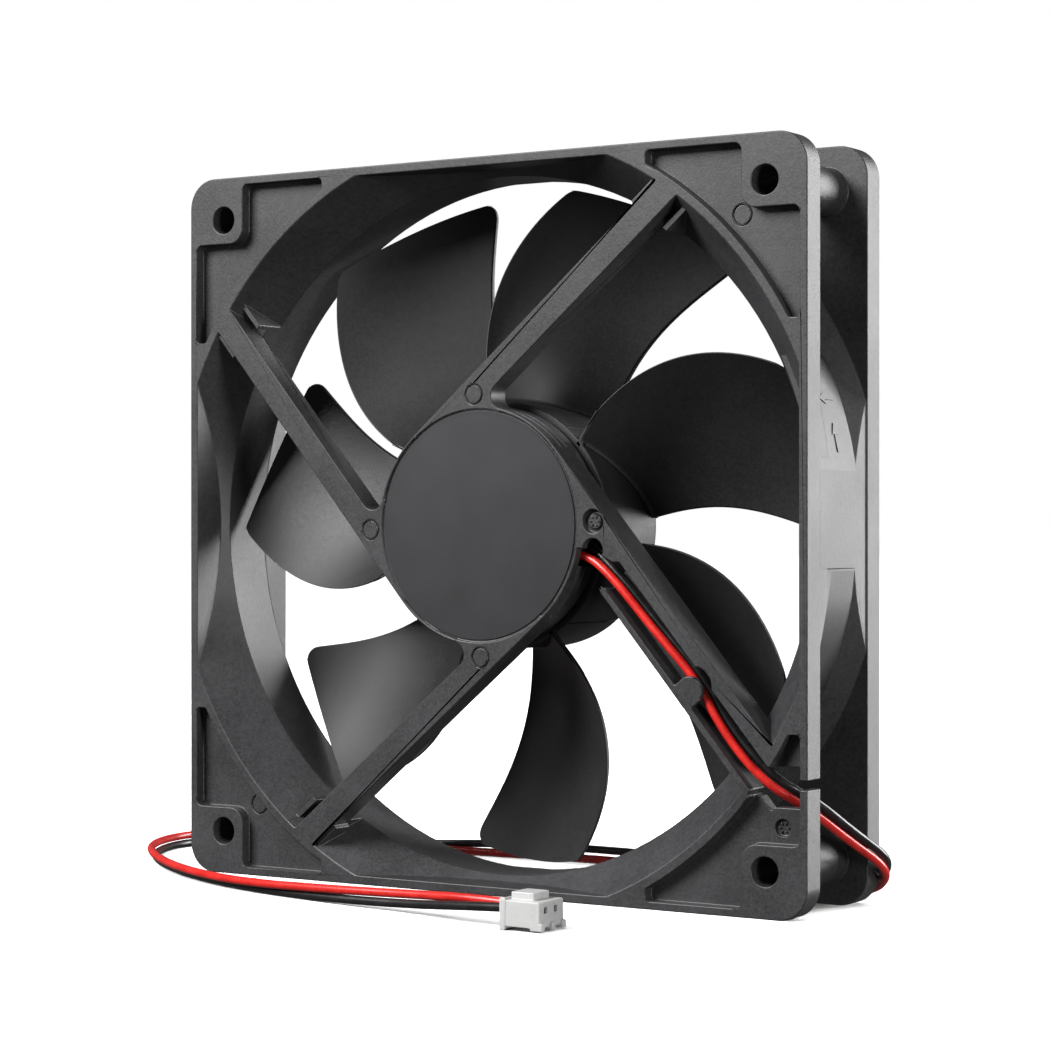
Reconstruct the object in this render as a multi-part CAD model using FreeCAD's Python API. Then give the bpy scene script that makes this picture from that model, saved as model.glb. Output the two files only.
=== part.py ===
import FreeCAD, Part
import math
import os

# Case fan, 120 mm class, 25 mm deep: one STEP file for each separate piece.
#
# The fan stands on its bottom edge with +Z up. The spin axis lies along Y: the strut side, where
# the air leaves, faces -Y and the intake faces +Y. Everything is drawn about the centre of the
# fan and lifted by half a frame when it is written, so that Z = 0 is the surface it stands on.
# Lengths are in millimetres. Angles in the plane of the fan run counter-clockwise as seen from
# the strut side, from +X towards +Z.

V = FreeCAD.Vector
CENTRE = V(0, 0, 0)
SPIN_AXIS = V(0, 1, 0)

# ---- driving dimensions: frame and duct ----
FRAME_SIZE = 119.5
FRAME_DEPTH = 25.0
FRAME_CORNER_R = 5.0
FLANGE_T = 4.4
HOLE_PITCH = 105.0
HOLE_R = 2.3
BOSS_TUBE_R = 3.9
THROAT_R = 57.25
THROAT_HALF = 4.8
FLARE_R = 63.2
SIDE_RIM = 1.5
DUCT_WALL = 2.75
WAIST_HALF = 4.2
LIP_R = 64.7
POCKET_DEPTH = 2.0
POCKET_RIM = 1.3
POCKET_END = 31.5
PAD_REACH = 48.4

# ---- struts and motor base ----
STRUT_ANGLE = 40.3
STRUT_W = 4.4
STRUT_T = 4.4
BASE_R = 19.4
BASE_PLATE_T = 1.5
BASE_WALL_T = 1.4
BASE_H = 6.5
LABEL_R = 18.5
LABEL_T = 0.2
LABEL_RECESS_R = 18.95
LABEL_RECESS_T = 0.35
ROOT_FILLET_R = 2.1
PIN_MARK_R = 1.6
PIN_MARK_LINE = 0.16
PIN_MARK_AT = 21.3
PIN_MARK_ANGLE = 91.8
FOOT_LOW = 12.8
FOOT_RIB = 13.6
SIDE_PAD_R = 60.3
SIDE_PAD_Z = (-6.5, 26.0)
PIN_MARKS_IN_POCKETS = ((47.6, 47.65), (-46.2, -47.7))
DEEP_SEAT = (22.0, 0.7)
POCKET_SEAT = (54.6, -45.9)

# ---- wire channel strut, in strut coordinates: along, across ----
CHANNEL_WALL = (10.95, 12.05)
CHANNEL_RIB = 16.7
CHANNEL_START = 23.3
CHANNEL_END = 63.4
CHANNEL_T = 5.1
CHANNEL_FLOOR_T = 1.2
CLIP_AT = (44.9, 13.5)
CLIP_R = 2.3
CLIP_T = 0.9

# ---- rotor ----
HUB_R = 20.3
HUB_WALL = 1.6
HUB_NEAR = -5.2
HUB_FAR = 11.4
HUB_EDGE_R = 1.6
BLADE_COUNT = 7
BLADE_TIP_R = 55.9
BLADE_ROOT_T = 1.7
BLADE_TIP_T = 1.2
BLADE_CAMBER = 2.0
SHAFT_R = 1.5
SHAFT_RUN = 0.05

# ---- lead and plug ----
WIRE_D = 1.4
PLUG_PITCH = 2.8
PLUG_CENTRE_Y = -39.8
PLUG_WIRE_END_X = 24.6
PLUG_LENGTH = 6.9
PLUG_CAVITY_UP = 3.2

# ---- worked out from the above ----
HALF = FRAME_SIZE / 2
FACE = FRAME_DEPTH / 2
FLANGE_IN = FACE - FLANGE_T
HOLE_AT = HOLE_PITCH / 2
FLOOR_Z = -HALF
RIM_AT = HALF - POCKET_RIM
BASE_END = -FACE + BASE_H
PLATE_IN = -FACE + BASE_PLATE_T
BOARD_LOW = -7.6
BOARD_HIGH = -6.6
CORE_LOW = -2.2
CORE_HIGH = 3.8

# The conductors as laid, each point (x, y, z) about the fan's centre: from the solder joint on
# the board, out of the motor base, along the channel and under its clip, through the window in
# the corner, down past the intake flange, round behind the fan, and back along the front.
WIRE_LOW = FLOOR_Z + WIRE_D / 2
RED_ROUTE = [
    (11.0, -8.5, -5.0), (17.2, -9.7, -3.9), (23.3, -10.9, -6.6), (32.4, -10.95, -16.4),
    (39.9, -10.8, -23.9), (44.4, -10.8, -31.6), (51.1, -10.5, -39.0), (56.9, -6.0, -43.4),
    (59.9, 2.2, -49.0), (62.75, 10.7, -54.2), (56.4, 16.6, -58.7), (44.0, 22.5, WIRE_LOW),
    (28.0, 28.4, WIRE_LOW), (10.0, 32.6, WIRE_LOW), (-9.0, 34.4, WIRE_LOW), (-27.0, 32.6, WIRE_LOW),
    (-44.0, 31.0, WIRE_LOW + 0.1), (-60.0, 30.4, -58.3), (-75.5, 27.3, -57.6), (-84.0, 15.6, -57.55),
    (-80.0, 0.2, -57.65), (-68.6, -11.9, -57.95), (-52.2, -23.2, -58.1), (-34.2, -30.6, -58.05),
    (-14.5, -33.9, -57.45), (4.0, -35.4, -56.85), (17.0, -38.3, -56.1), (26.4, -38.4, -56.55)]
BLACK_ROUTE = [
    (11.2, -8.5, -1.2), (17.9, -8.6, -2.2), (23.6, -9.4, -6.3), (32.8, -9.45, -16.0),
    (40.3, -9.4, -23.7), (45.0, -9.5, -31.2), (52.0, -9.25, -38.2), (57.6, -4.8, -42.3),
    (60.2, 2.6, -47.5), (62.9, 11.0, -52.6), (56.5, 17.1, -57.1), (44.0, 23.1, -57.4),
    (28.0, 28.9, -57.4), (10.0, 33.0, -57.35), (-9.0, 34.7, -57.35), (-27.0, 33.3, -57.45),
    (-44.0, 32.8, -58.55), (-60.0, 31.7, WIRE_LOW), (-76.2, 28.2, WIRE_LOW), (-84.2, 15.4, WIRE_LOW),
    (-79.4, 0.7, WIRE_LOW), (-68.1, -11.0, WIRE_LOW), (-51.5, -22.0, WIRE_LOW), (-33.8, -29.3, WIRE_LOW),
    (-14.4, -33.4, -58.95), (4.0, -36.0, -58.3), (17.0, -39.9, -57.1), (26.4, -41.3, -56.55)]

parts = {}


# ---------------------------------------------------------------- drawing helpers
def add(node, shape):
    """Keep one finished piece under its node name."""
    parts[node] = shape


def disc(radius, y_low, y_high, hole=0.0, at=(0.0, 0.0)):
    """A cylinder or a ring along Y, between two depths, at (x, z)."""
    start = V(at[0], y_low, at[1])
    solid = Part.makeCylinder(radius, y_high - y_low, start, SPIN_AXIS)
    if hole > 0:
        solid = solid.cut(Part.makeCylinder(hole, y_high - y_low, start, SPIN_AXIS))
    return solid


def block(x_low, x_high, y_low, y_high, z_low, z_high):
    """A box between its lowest and highest corners."""
    return Part.makeBox(x_high - x_low, y_high - y_low, z_high - z_low, V(x_low, y_low, z_low))


def prism(points, y_low, y_high):
    """A polygon of (x, z) points carried along Y."""
    loop = [V(x, y_low, z) for x, z in points]
    face = Part.Face(Part.makePolygon(loop + loop[:1]))
    return face.extrude(V(0, y_high - y_low, 0))


def revolved(profile):
    """A polygon of (radius, y) points turned about the spin axis."""
    loop = [V(radius, y, 0) for radius, y in profile]
    face = Part.Face(Part.makePolygon(loop + loop[:1]))
    return face.revolve(CENTRE, SPIN_AXIS, 360)


def turned(shape, angle):
    """A copy turned about the spin axis, counter-clockwise seen from the strut side."""
    copy = shape.copy()
    copy.rotate(CENTRE, V(0, -1, 0), angle)
    return copy


def on_circle(radius, angle):
    """The (x, z) place at a radius and an angle in degrees."""
    return radius * math.cos(math.radians(angle)), radius * math.sin(math.radians(angle))


def along_y(edge):
    """Whether a straight edge runs along Y."""
    return abs(abs(edge.tangentAt(edge.FirstParameter).y) - 1) < 1e-6


def rounded_block(half, radius, y_low, y_high):
    """A square plate with its four corners rounded."""
    plate = block(-half, half, y_low, y_high, -half, half)
    return plate.makeFillet(radius, [edge for edge in plate.Edges if along_y(edge)])


def strut_xz(along, across, quarter=0):
    """Strut coordinates to (x, z): quarter counts turns of 90 degrees from the upper right."""
    slope = math.radians(STRUT_ANGLE)
    x = along * math.cos(slope) - across * math.sin(slope)
    z = along * math.sin(slope) + across * math.cos(slope)
    for _ in range(quarter % 4):
        x, z = -z, x
    return x, z


def strut_prism(points, y_low, y_high, quarter=0):
    """A prism whose outline is given in strut coordinates."""
    return prism([strut_xz(along, across, quarter) for along, across in points], y_low, y_high)


def fused(solids):
    """One solid from several that touch."""
    whole = solids[0]
    if len(solids) > 1:
        whole = whole.fuse(solids[1:])
    return whole.removeSplitter()


# ---------------------------------------------------------------- frame
def duct_shell():
    """Both flanges, the waisted duct wall between them, and the corner boss tubes."""
    wall_in = THROAT_R + DUCT_WALL
    wall_out = wall_in + 2.6
    waist = revolved([(0, -FLANGE_IN), (wall_out, -FLANGE_IN), (wall_in, -WAIST_HALF),
                      (wall_in, WAIST_HALF), (wall_out, FLANGE_IN), (0, FLANGE_IN)])
    flat = HALF - 0.3
    waist = waist.common(block(-flat, flat, -FACE, FACE, -flat, flat))
    solids = [rounded_block(HALF, FRAME_CORNER_R, -FACE, -FLANGE_IN),
              rounded_block(HALF, FRAME_CORNER_R, FLANGE_IN, FACE), waist]
    for x in (-HOLE_AT, HOLE_AT):
        for z in (-HOLE_AT, HOLE_AT):
            solids.append(disc(BOSS_TUBE_R, -FLANGE_IN, FLANGE_IN, at=(x, z)))
    return fused(solids)


def air_path():
    """The throat with a flare at each face, flattened where the sides are too thin for it."""
    slope = (FLARE_R - THROAT_R) / (FACE - THROAT_HALF)
    past = FACE + 1
    wide = FLARE_R + slope
    path = revolved([(0, -past), (wide, -past), (THROAT_R, -THROAT_HALF), (THROAT_R, THROAT_HALF),
                     (wide, past), (0, past)])
    flat = HALF - SIDE_RIM
    return path.common(block(-flat, flat, -past, past, -flat, flat))


def corner_pocket():
    """The shallow pocket of the upper right corner, between the rim, the duct lip and the pad."""
    low = -FACE - 1
    high = -FACE + POCKET_DEPTH
    pocket = block(POCKET_END, RIM_AT, low, high, POCKET_END, RIM_AT)
    pocket = pocket.cut(disc(LIP_R, low, high))
    pocket = pocket.cut(block(PAD_REACH, HALF, low, high, PAD_REACH, HALF))
    radii = [(PAD_REACH, PAD_REACH, 2.6), (PAD_REACH, RIM_AT, 1.2), (RIM_AT, PAD_REACH, 1.2),
             (RIM_AT, POCKET_END, 0.8), (POCKET_END, RIM_AT, 0.8)]
    for x, z, radius in radii:
        edges = [edge for edge in pocket.Edges
                 if along_y(edge) and V(x, 0, z).isEqual(V(edge.Vertexes[0].X, 0, edge.Vertexes[0].Z), 0.01)]
        pocket = pocket.makeFillet(radius, edges)
    return pocket


def wire_window():
    """What the lead needs cut away at the lower right corner: window, lip gap and rim slot."""
    low = -FACE - 1
    window = prism([(49.4, -41.2), (51.6, -41.0), (53.0, -42.8), (RIM_AT, -42.8), (RIM_AT, -36.6),
                    (52.9, -36.6), (50.4, -38.9)], low, -FLANGE_IN + 1)
    lip_gap = strut_prism([(56.5, CHANNEL_WALL[1]), (67, CHANNEL_WALL[1]), (67, CHANNEL_RIB),
                           (56.5, CHANNEL_RIB)], low, -6.9, 3)
    rim_slot = block(RIM_AT - 1, HALF + 1, low, -FLANGE_IN + 1, -39.8, -38.4)
    return [window, lip_gap, rim_slot]


def plain_strut(quarter):
    """One strut: its outer edge is a tangent of the motor base, and its root has a fillet."""
    low = BASE_R - STRUT_W
    reach = LIP_R - 0.5
    bar = strut_prism([(0, low), (reach, low), (reach, BASE_R), (0, BASE_R)], -FACE, -FACE + STRUT_T, quarter)
    bar = bar.common(disc(LIP_R - 0.4, -FACE, FACE))
    centre_n = low - ROOT_FILLET_R
    centre_u = math.sqrt((BASE_R + ROOT_FILLET_R) ** 2 - centre_n ** 2)
    shrink = BASE_R / (BASE_R + ROOT_FILLET_R)
    corner = strut_prism([(centre_u * shrink * 0.9, centre_n * shrink * 0.9), (centre_u, centre_n),
                          (centre_u, low + 1), (8, low + 1)], -FACE, -FACE + STRUT_T, quarter)
    corner = corner.cut(disc(ROOT_FILLET_R, -FACE, FACE, at=strut_xz(centre_u, centre_n, quarter)))
    return [bar, corner]


def strut_end_trim(quarter):
    """Where a strut meets the duct: the step on its outer edge, its foot and the rib beside it."""
    step = strut_prism([(54.7, BASE_R - 0.4), (59.6, BASE_R - 0.4), (59.6, BASE_R + 0.8), (54.7, BASE_R + 0.8)],
                       -FACE + 0.4, -FACE + STRUT_T, quarter)
    foot = strut_prism([(53, FOOT_LOW), (65, FOOT_LOW), (65, BASE_R), (53, BASE_R)],
                       -FACE + STRUT_T - 0.1, -THROAT_HALF, quarter)
    rib = strut_prism([(53, FOOT_LOW), (65, FOOT_LOW), (65, FOOT_RIB), (53, FOOT_RIB)],
                      -FACE + 1.6, -THROAT_HALF, quarter)
    ring = disc(LIP_R - 0.3, -FACE, FACE, hole=THROAT_R)
    return [step, foot.common(ring), rib.common(ring)]


def channel_strut():
    """The strut that carries the lead: rib, thin wall, floor, and the round clip tab over it."""
    wall_low, wall_high = CHANNEL_WALL
    back = -FACE + CHANNEL_T
    rib = strut_prism([(0, CHANNEL_RIB), (66, CHANNEL_RIB), (66, BASE_R), (0, BASE_R)], -FACE, back, 3)
    rib = rib.cut(disc(3.0, -FACE - 1, back - CHANNEL_FLOOR_T, at=strut_xz(CLIP_AT[0], 14.7, 3)))
    middle = (wall_low + wall_high) / 2
    wall = strut_prism([(CHANNEL_START, wall_low), (CHANNEL_END, wall_low), (CHANNEL_END, wall_high),
                        (CHANNEL_START, wall_high)], -FACE, back, 3)
    tip = disc((wall_high - wall_low) / 2, -FACE, back, at=strut_xz(CHANNEL_START, middle, 3))
    floor = strut_prism([(22, middle), (56.5, middle), (56.5, CHANNEL_RIB + 1), (22, CHANNEL_RIB + 1)],
                        back - CHANNEL_FLOOR_T, back, 3)
    root = strut_prism([(-8, 0), (0, BASE_R), (24, BASE_R), (24, 17.15), (22, 17.15), (20.9, 15.75),
                        (17.1, 14.2), (4, 2)], -FACE, -FACE + STRUT_T, 3)
    root = root.cut(disc(1.85, -FACE - 1, FACE, at=strut_xz(17.1, 14.2, 3)))
    clip_u, clip_n = CLIP_AT
    tab = disc(CLIP_R, -FACE, -FACE + CLIP_T, at=strut_xz(clip_u, clip_n, 3))
    neck = strut_prism([(clip_u - CLIP_R, middle), (clip_u + CLIP_R, middle), (clip_u + CLIP_R, clip_n),
                        (clip_u - CLIP_R, clip_n)], -FACE, -FACE + CLIP_T, 3)
    inside = disc(LIP_R - 0.3, -FACE, FACE)
    return [solid.common(inside) for solid in (rib, wall, floor)] + [tip, root, tab, neck]


def base_cup():
    """The motor base: plate with its sticker recess, grooved wall, tube seat and standoffs."""
    wall_in = BASE_R - BASE_WALL_T
    groove = BASE_R - 0.35
    profile = [(0, -FACE), (BASE_R, -FACE), (BASE_R, -10.9), (groove, -10.7), (groove, -10.2),
               (BASE_R, -10.0), (BASE_R, -9.2), (groove, -9.0), (groove, -8.5), (BASE_R, -8.3),
               (BASE_R, BASE_END), (wall_in, BASE_END), (wall_in, PLATE_IN), (0, PLATE_IN)]
    solids = [revolved(profile), disc(5.4, PLATE_IN, -8.4)]
    for angle in (60, 180, 300):
        solids.append(disc(1.3, PLATE_IN, BOARD_LOW, at=on_circle(15.6, angle)))
    cup = fused(solids)
    cup = cup.cut(disc(LABEL_RECESS_R, -FACE - 1, -FACE + LABEL_RECESS_T))
    return cup.cut(disc(4.05, -11.65, 0))


def ring_mark(at, level):
    """The fine round line that an ejector pin leaves on a surface."""
    return disc(PIN_MARK_R + PIN_MARK_LINE / 2, -FACE - 1, level + PIN_MARK_LINE,
                hole=PIN_MARK_R - PIN_MARK_LINE / 2, at=at)


def face_marks():
    """Mould marks: pin lines at the strut roots and in two pockets, and the two deeper seats."""
    marks = [ring_mark(on_circle(PIN_MARK_AT, PIN_MARK_ANGLE + 90 * step), -FACE) for step in range(3)]
    marks += [ring_mark(at, -FACE + POCKET_DEPTH) for at in PIN_MARKS_IN_POCKETS]
    marks.append(disc(1.9, -FACE - 1, -FACE + 0.9, at=DEEP_SEAT))
    marks.append(disc(1.3, -FACE - 1, -FACE + POCKET_DEPTH + 0.5, at=POCKET_SEAT))
    return marks


def side_pad():
    """The slightly raised band on the right of the duct's waist, cut off square at its lower end."""
    low, high = SIDE_PAD_Z
    edge = HALF - 0.05
    return disc(SIDE_PAD_R, -5.3, WAIST_HALF, hole=THROAT_R + 1).common(
        block(45, edge, -5.3, WAIST_HALF, low, high))


def make_frame():
    """The one-piece frame."""
    shell = duct_shell().cut(air_path())
    for quarter in range(4):
        shell = shell.cut(turned(corner_pocket(), 90 * quarter))
    shell = shell.cut(wire_window())
    struts = []
    for quarter in range(3):
        struts += plain_strut(quarter)
        struts += strut_end_trim(quarter)
    struts += channel_strut()
    struts = fused(struts).cut(disc(BASE_R - 0.5, -FACE - 1, FACE))
    struts = struts.cut(wire_window()[0])
    frame = fused([shell, struts, base_cup(), side_pad()])
    frame = frame.cut(face_marks())
    frame = frame.fuse(disc(1.25, -FACE + 0.5, -FACE + 1.2, at=DEEP_SEAT))
    frame = frame.cut(block(16, 21.9, PLATE_IN + 0.1, 0, -6.4, -1.2))
    for x in (-HOLE_AT, HOLE_AT):
        for z in (-HOLE_AT, HOLE_AT):
            frame = frame.cut(disc(HOLE_R, -FACE - 1, FACE + 1, at=(x, z)))
    add("frame", frame.removeSplitter())


# ---------------------------------------------------------------- bearing and stator
def make_bearing():
    """Brass tube in the base, with the sleeve bearing, wear pad and oil seal inside it."""
    add("label", disc(LABEL_R, -FACE + LABEL_RECESS_T - LABEL_T, -FACE + LABEL_RECESS_T))
    add("bearing_tube", disc(4.0, -11.6, 4.8, hole=3.3))
    add("thrust_pad", disc(3.2, -11.6, -10.9))
    add("sleeve_bearing", disc(3.25, -9.3, 4.0, hole=SHAFT_R + SHAFT_RUN))
    add("oil_seal", disc(3.25, 4.1, 4.7, hole=1.75))


def radial_block(r_low, r_high, half_width, y_low, y_high, angle):
    """A box that points outwards from the axis at an angle."""
    return turned(block(r_low, r_high, y_low, y_high, -half_width, half_width), angle)


def make_stator():
    """Lamination stack with four poles, its two insulators, the windings and the posts."""
    core = [disc(6.4, CORE_LOW, CORE_HIGH, hole=4.1)]
    upper = [disc(6.9, CORE_HIGH, CORE_HIGH + 0.8, hole=4.2)]
    lower = [disc(6.9, CORE_LOW - 0.8, CORE_LOW, hole=4.2)]
    for pole in range(4):
        angle = 45 + 90 * pole
        core.append(radial_block(6.0, 13.4, 2.0, CORE_LOW, CORE_HIGH, angle))
        sector = turned(prism([(0, 0), (18, -11.6), (18, 11.6)], CORE_LOW, CORE_HIGH), angle)
        core.append(disc(14.2, CORE_LOW, CORE_HIGH, hole=12.7).common(sector))
        upper.append(radial_block(6.0, 12.4, 2.3, CORE_HIGH, CORE_HIGH + 0.8, angle))
        upper.append(radial_block(11.8, 12.4, 4.2, CORE_HIGH, CORE_HIGH + 2.4, angle))
        lower.append(radial_block(6.0, 12.4, 2.3, CORE_LOW - 0.8, CORE_LOW, angle))
        lower.append(radial_block(11.8, 12.4, 4.2, CORE_LOW - 2.4, CORE_LOW, angle))
        winding = radial_block(7.2, 11.7, 3.8, CORE_LOW - 2.3, CORE_HIGH + 2.3, angle)
        add(f"coil_{pole + 1}", winding.cut(radial_block(7, 12, 2.4, CORE_LOW - 0.9, CORE_HIGH + 0.9, angle)))
    add("stator_core", fused(core))
    add("bobbin_upper", fused(upper))
    add("bobbin_lower", fused(lower))
    for post in range(3):
        place = on_circle(5.6, 90 * post)
        add(f"terminal_pin_{post + 1}", disc(0.4, BOARD_HIGH, CORE_LOW - 0.8, at=place))


def make_board():
    """Round circuit board, with what is soldered to it."""
    add("circuit_board", disc(17.3, BOARD_LOW, BOARD_HIGH, hole=5.4))
    sensor_x, sensor_z = on_circle(15.4, 0)
    add("hall_sensor", block(sensor_x - 0.8, sensor_x + 0.8, BOARD_HIGH, BOARD_HIGH + 1.3,
                             sensor_z - 1.5, sensor_z + 1.5))
    add("driver_chip", block(-12.5, -7.6, BOARD_LOW - 1.5, BOARD_LOW, 1.0, 5.0))
    add("capacitor", disc(1.6, BOARD_LOW - 2.6, BOARD_LOW, at=(-6.0, -10.5)))
    add("resistor_1", block(-1.0, 0.6, BOARD_LOW - 0.5, BOARD_LOW, 8.0, 8.9))
    add("resistor_2", block(3.0, 4.6, BOARD_LOW - 0.5, BOARD_LOW, 9.4, 10.3))
    add("diode", block(1.5, 4.1, BOARD_LOW - 1.1, BOARD_LOW, -11.5, -9.9))
    for node, route in (("solder_red", RED_ROUTE), ("solder_black", BLACK_ROUTE)):
        x, _, z = route[0]
        add(node, disc(1.0, BOARD_LOW - 1.9, BOARD_LOW, at=(x - 1.15, z)))


# ---------------------------------------------------------------- rotor
def polynomial(terms, value):
    """Sum of terms times rising powers of value."""
    return sum(term * value ** power for power, term in enumerate(terms))


def blade_edge(radius):
    """Trailing and leading edge of the first blade at a radius: (angle in radians, y) for each."""
    span = (radius - 38.0) / 18.0
    trailing = (polynomial((2.532, -0.176, -0.125, 0.024), span), polynomial((-3.11, 1.97, -0.88), span))
    leading = (polynomial((1.863, -0.102, -0.061, 0.049), span), polynomial((9.24, -0.29, 0.28), span))
    return trailing, leading


def blade_point(radius, chord, side):
    """A point on the blade: chord runs 0 to 1 from trailing to leading edge, side is -1 or 1."""
    (angle_0, y_0), (angle_1, y_1) = blade_edge(radius)
    angle = angle_0 + (angle_1 - angle_0) * chord
    bulge = 4 * chord * (1 - chord)
    share = (radius - HUB_R) / (BLADE_TIP_R - HUB_R)
    thick = (BLADE_ROOT_T + (BLADE_TIP_T - BLADE_ROOT_T) * share) * (0.72 + 0.28 * bulge)
    y = y_0 + (y_1 - y_0) * chord + BLADE_CAMBER * bulge + side * thick / 2
    return V(radius * math.cos(angle), y, radius * math.sin(angle))


def blade_solid():
    """One blade: two smooth faces, and a strip along each of their four edges, sewn together."""
    root_r = HUB_R - 1.0
    spans = [root_r + (BLADE_TIP_R - root_r) * step / 8 for step in range(9)]
    chords = [step / 8 for step in range(9)]
    surfaces = []
    for side in (-1, 1):
        surface = Part.BSplineSurface()
        surface.interpolate([[blade_point(radius, chord, side) for chord in chords] for radius in spans])
        surfaces.append(surface)
    faces = [surface.toShape() for surface in surfaces]
    u_low, u_high, v_low, v_high = surfaces[0].bounds()
    for u in (u_low, u_high):
        faces.append(Part.makeRuledSurface(*[surface.uIso(u).toShape() for surface in surfaces]))
    for v in (v_low, v_high):
        faces.append(Part.makeRuledSurface(*[surface.vIso(v).toShape() for surface in surfaces]))
    shell = Part.makeShell(faces)
    shell.sewShape()
    return Part.makeSolid(shell)


def flat_point(radius, chord):
    """A point of the blade's middle surface, dropped onto the plane of the fan."""
    point = blade_point(radius, chord, 0)
    return V(point.x, 0, point.z)


def corner_cutter(chord, beside, radius):
    """What rounds a tip corner off: the corner's kite less a circle tangent to both its edges."""
    corner = flat_point(BLADE_TIP_R, chord)
    down = (flat_point(BLADE_TIP_R - 4, chord) - corner).normalize()
    across = (flat_point(BLADE_TIP_R, beside) - corner).normalize()
    half = down.getAngle(across) / 2
    inward = (down + across).normalize()
    centre = corner + inward * (radius / math.sin(half))
    touch = [corner + way * (radius / math.tan(half)) for way in (down, across)]
    past = [point + (point - centre).normalize() for point in touch]
    loop = [centre, touch[0], past[0], corner - inward * 2, past[1], touch[1]]
    kite = prism([(point.x, point.z) for point in loop], -FACE, FACE)
    return kite.cut(disc(radius, -FACE, FACE, at=(centre.x, centre.z)))


def rounded_blade():
    """The blade with its two tip corners rounded and its root trimmed to the hub's rim."""
    blade = blade_solid()
    blade = blade.cut(corner_cutter(1.0, 0.9, 3.0))
    blade = blade.cut(corner_cutter(0.0, 0.1, 0.9))
    return blade.cut(disc(60, -20, HUB_NEAR))


def make_rotor():
    """Impeller, and the yoke, magnet and shaft assembly inside its hub."""
    inner = HUB_R - HUB_WALL
    cap_in = HUB_FAR - HUB_WALL
    hub = disc(HUB_R, HUB_NEAR, HUB_FAR)
    rim = [edge for edge in hub.Edges if abs(edge.CenterOfMass.y - HUB_FAR) < 0.01 and edge.Length > 10]
    hub = hub.makeFillet(HUB_EDGE_R, rim).cut(disc(inner, HUB_NEAR - 1, cap_in))
    hub = hub.cut(disc(3.0, HUB_FAR - 0.3, HUB_FAR + 1))
    hub = hub.cut(disc(16.4, HUB_FAR - 0.5, HUB_FAR + 1, hole=15.2))
    blade = rounded_blade()
    cavity = disc(inner + 0.3, HUB_NEAR - 1, cap_in)
    blade = blade.cut(cavity)
    blades = [turned(blade, -360.0 / BLADE_COUNT * step) for step in range(BLADE_COUNT)]
    add("impeller", fused([hub] + blades))
    cup = disc(inner - 0.05, -4.6, cap_in - 0.05)
    cup = cup.cut(disc(inner - 0.75, -5, cap_in - 0.75))
    add("rotor_yoke", cup.cut(disc(2.5, 0, 12)))
    add("magnet_ring", disc(inner - 0.8, -4.4, 5.6, hole=14.7))
    bush = disc(4.5, 5.2, cap_in - 0.8).fuse(disc(2.45, cap_in - 0.8, cap_in - 0.05))
    add("shaft_bush", bush.removeSplitter().cut(disc(SHAFT_R, 0, 12)))
    shaft = disc(SHAFT_R, -10.8, cap_in - 0.1)
    ends = [edge for edge in shaft.Edges if abs(edge.CenterOfMass.y + 10.8) < 0.01]
    shaft = shaft.makeFillet(0.6, ends).cut(disc(SHAFT_R + 1, -9.95, -9.55, hole=1.1))
    add("shaft", shaft)
    clip = disc(2.4, -9.9, -9.6, hole=1.12).cut(block(0, 3, -10, -9, -0.25, 0.25))
    add("retaining_clip", clip)
    add("slide_washer", disc(2.9, 4.9, 5.2, hole=SHAFT_R + 0.02))


# ---------------------------------------------------------------- lead and plug
def tube_along(route, diameter):
    """A tube along straight runs joined by tangent arcs, each as large as its two runs allow."""
    points = [V(*point) for point in route]
    edges = []
    radii = []
    start = points[0]
    for before, corner, after in zip(points, points[1:], points[2:]):
        back = (before - corner)
        ahead = (after - corner)
        reach = 0.45 * min(back.Length, ahead.Length)
        back.normalize()
        ahead.normalize()
        half_turn = (math.pi - back.getAngle(ahead)) / 2
        radius = reach / math.tan(half_turn)
        radii.append(radius)
        enter = corner + back * reach
        leave = corner + ahead * reach
        centre = corner + (back + ahead).normalize() * (radius / math.cos(half_turn))
        middle = centre + (corner - centre).normalize() * radius
        edges.append(Part.LineSegment(start, enter).toShape())
        edges.append(Part.Arc(enter, middle, leave).toShape())
        start = leave
    edges.append(Part.LineSegment(start, points[-1]).toShape())
    path = Part.Wire(edges)
    first = points[1] - points[0]
    section = Part.Wire(Part.makeCircle(diameter / 2, points[0], first))
    tube = path.makePipeShell([section], True, True)
    ideal = math.pi * diameter ** 2 / 4 * path.Length
    print(f"lead {path.Length:.1f} mm, smallest radius {min(radii):.1f} mm, "
          f"volume {tube.Volume / ideal:.4f} of section times length, solid {tube.isValid()}")
    print("radii", " ".join(f"{radius:.1f}" for radius in radii))
    return tube


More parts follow.
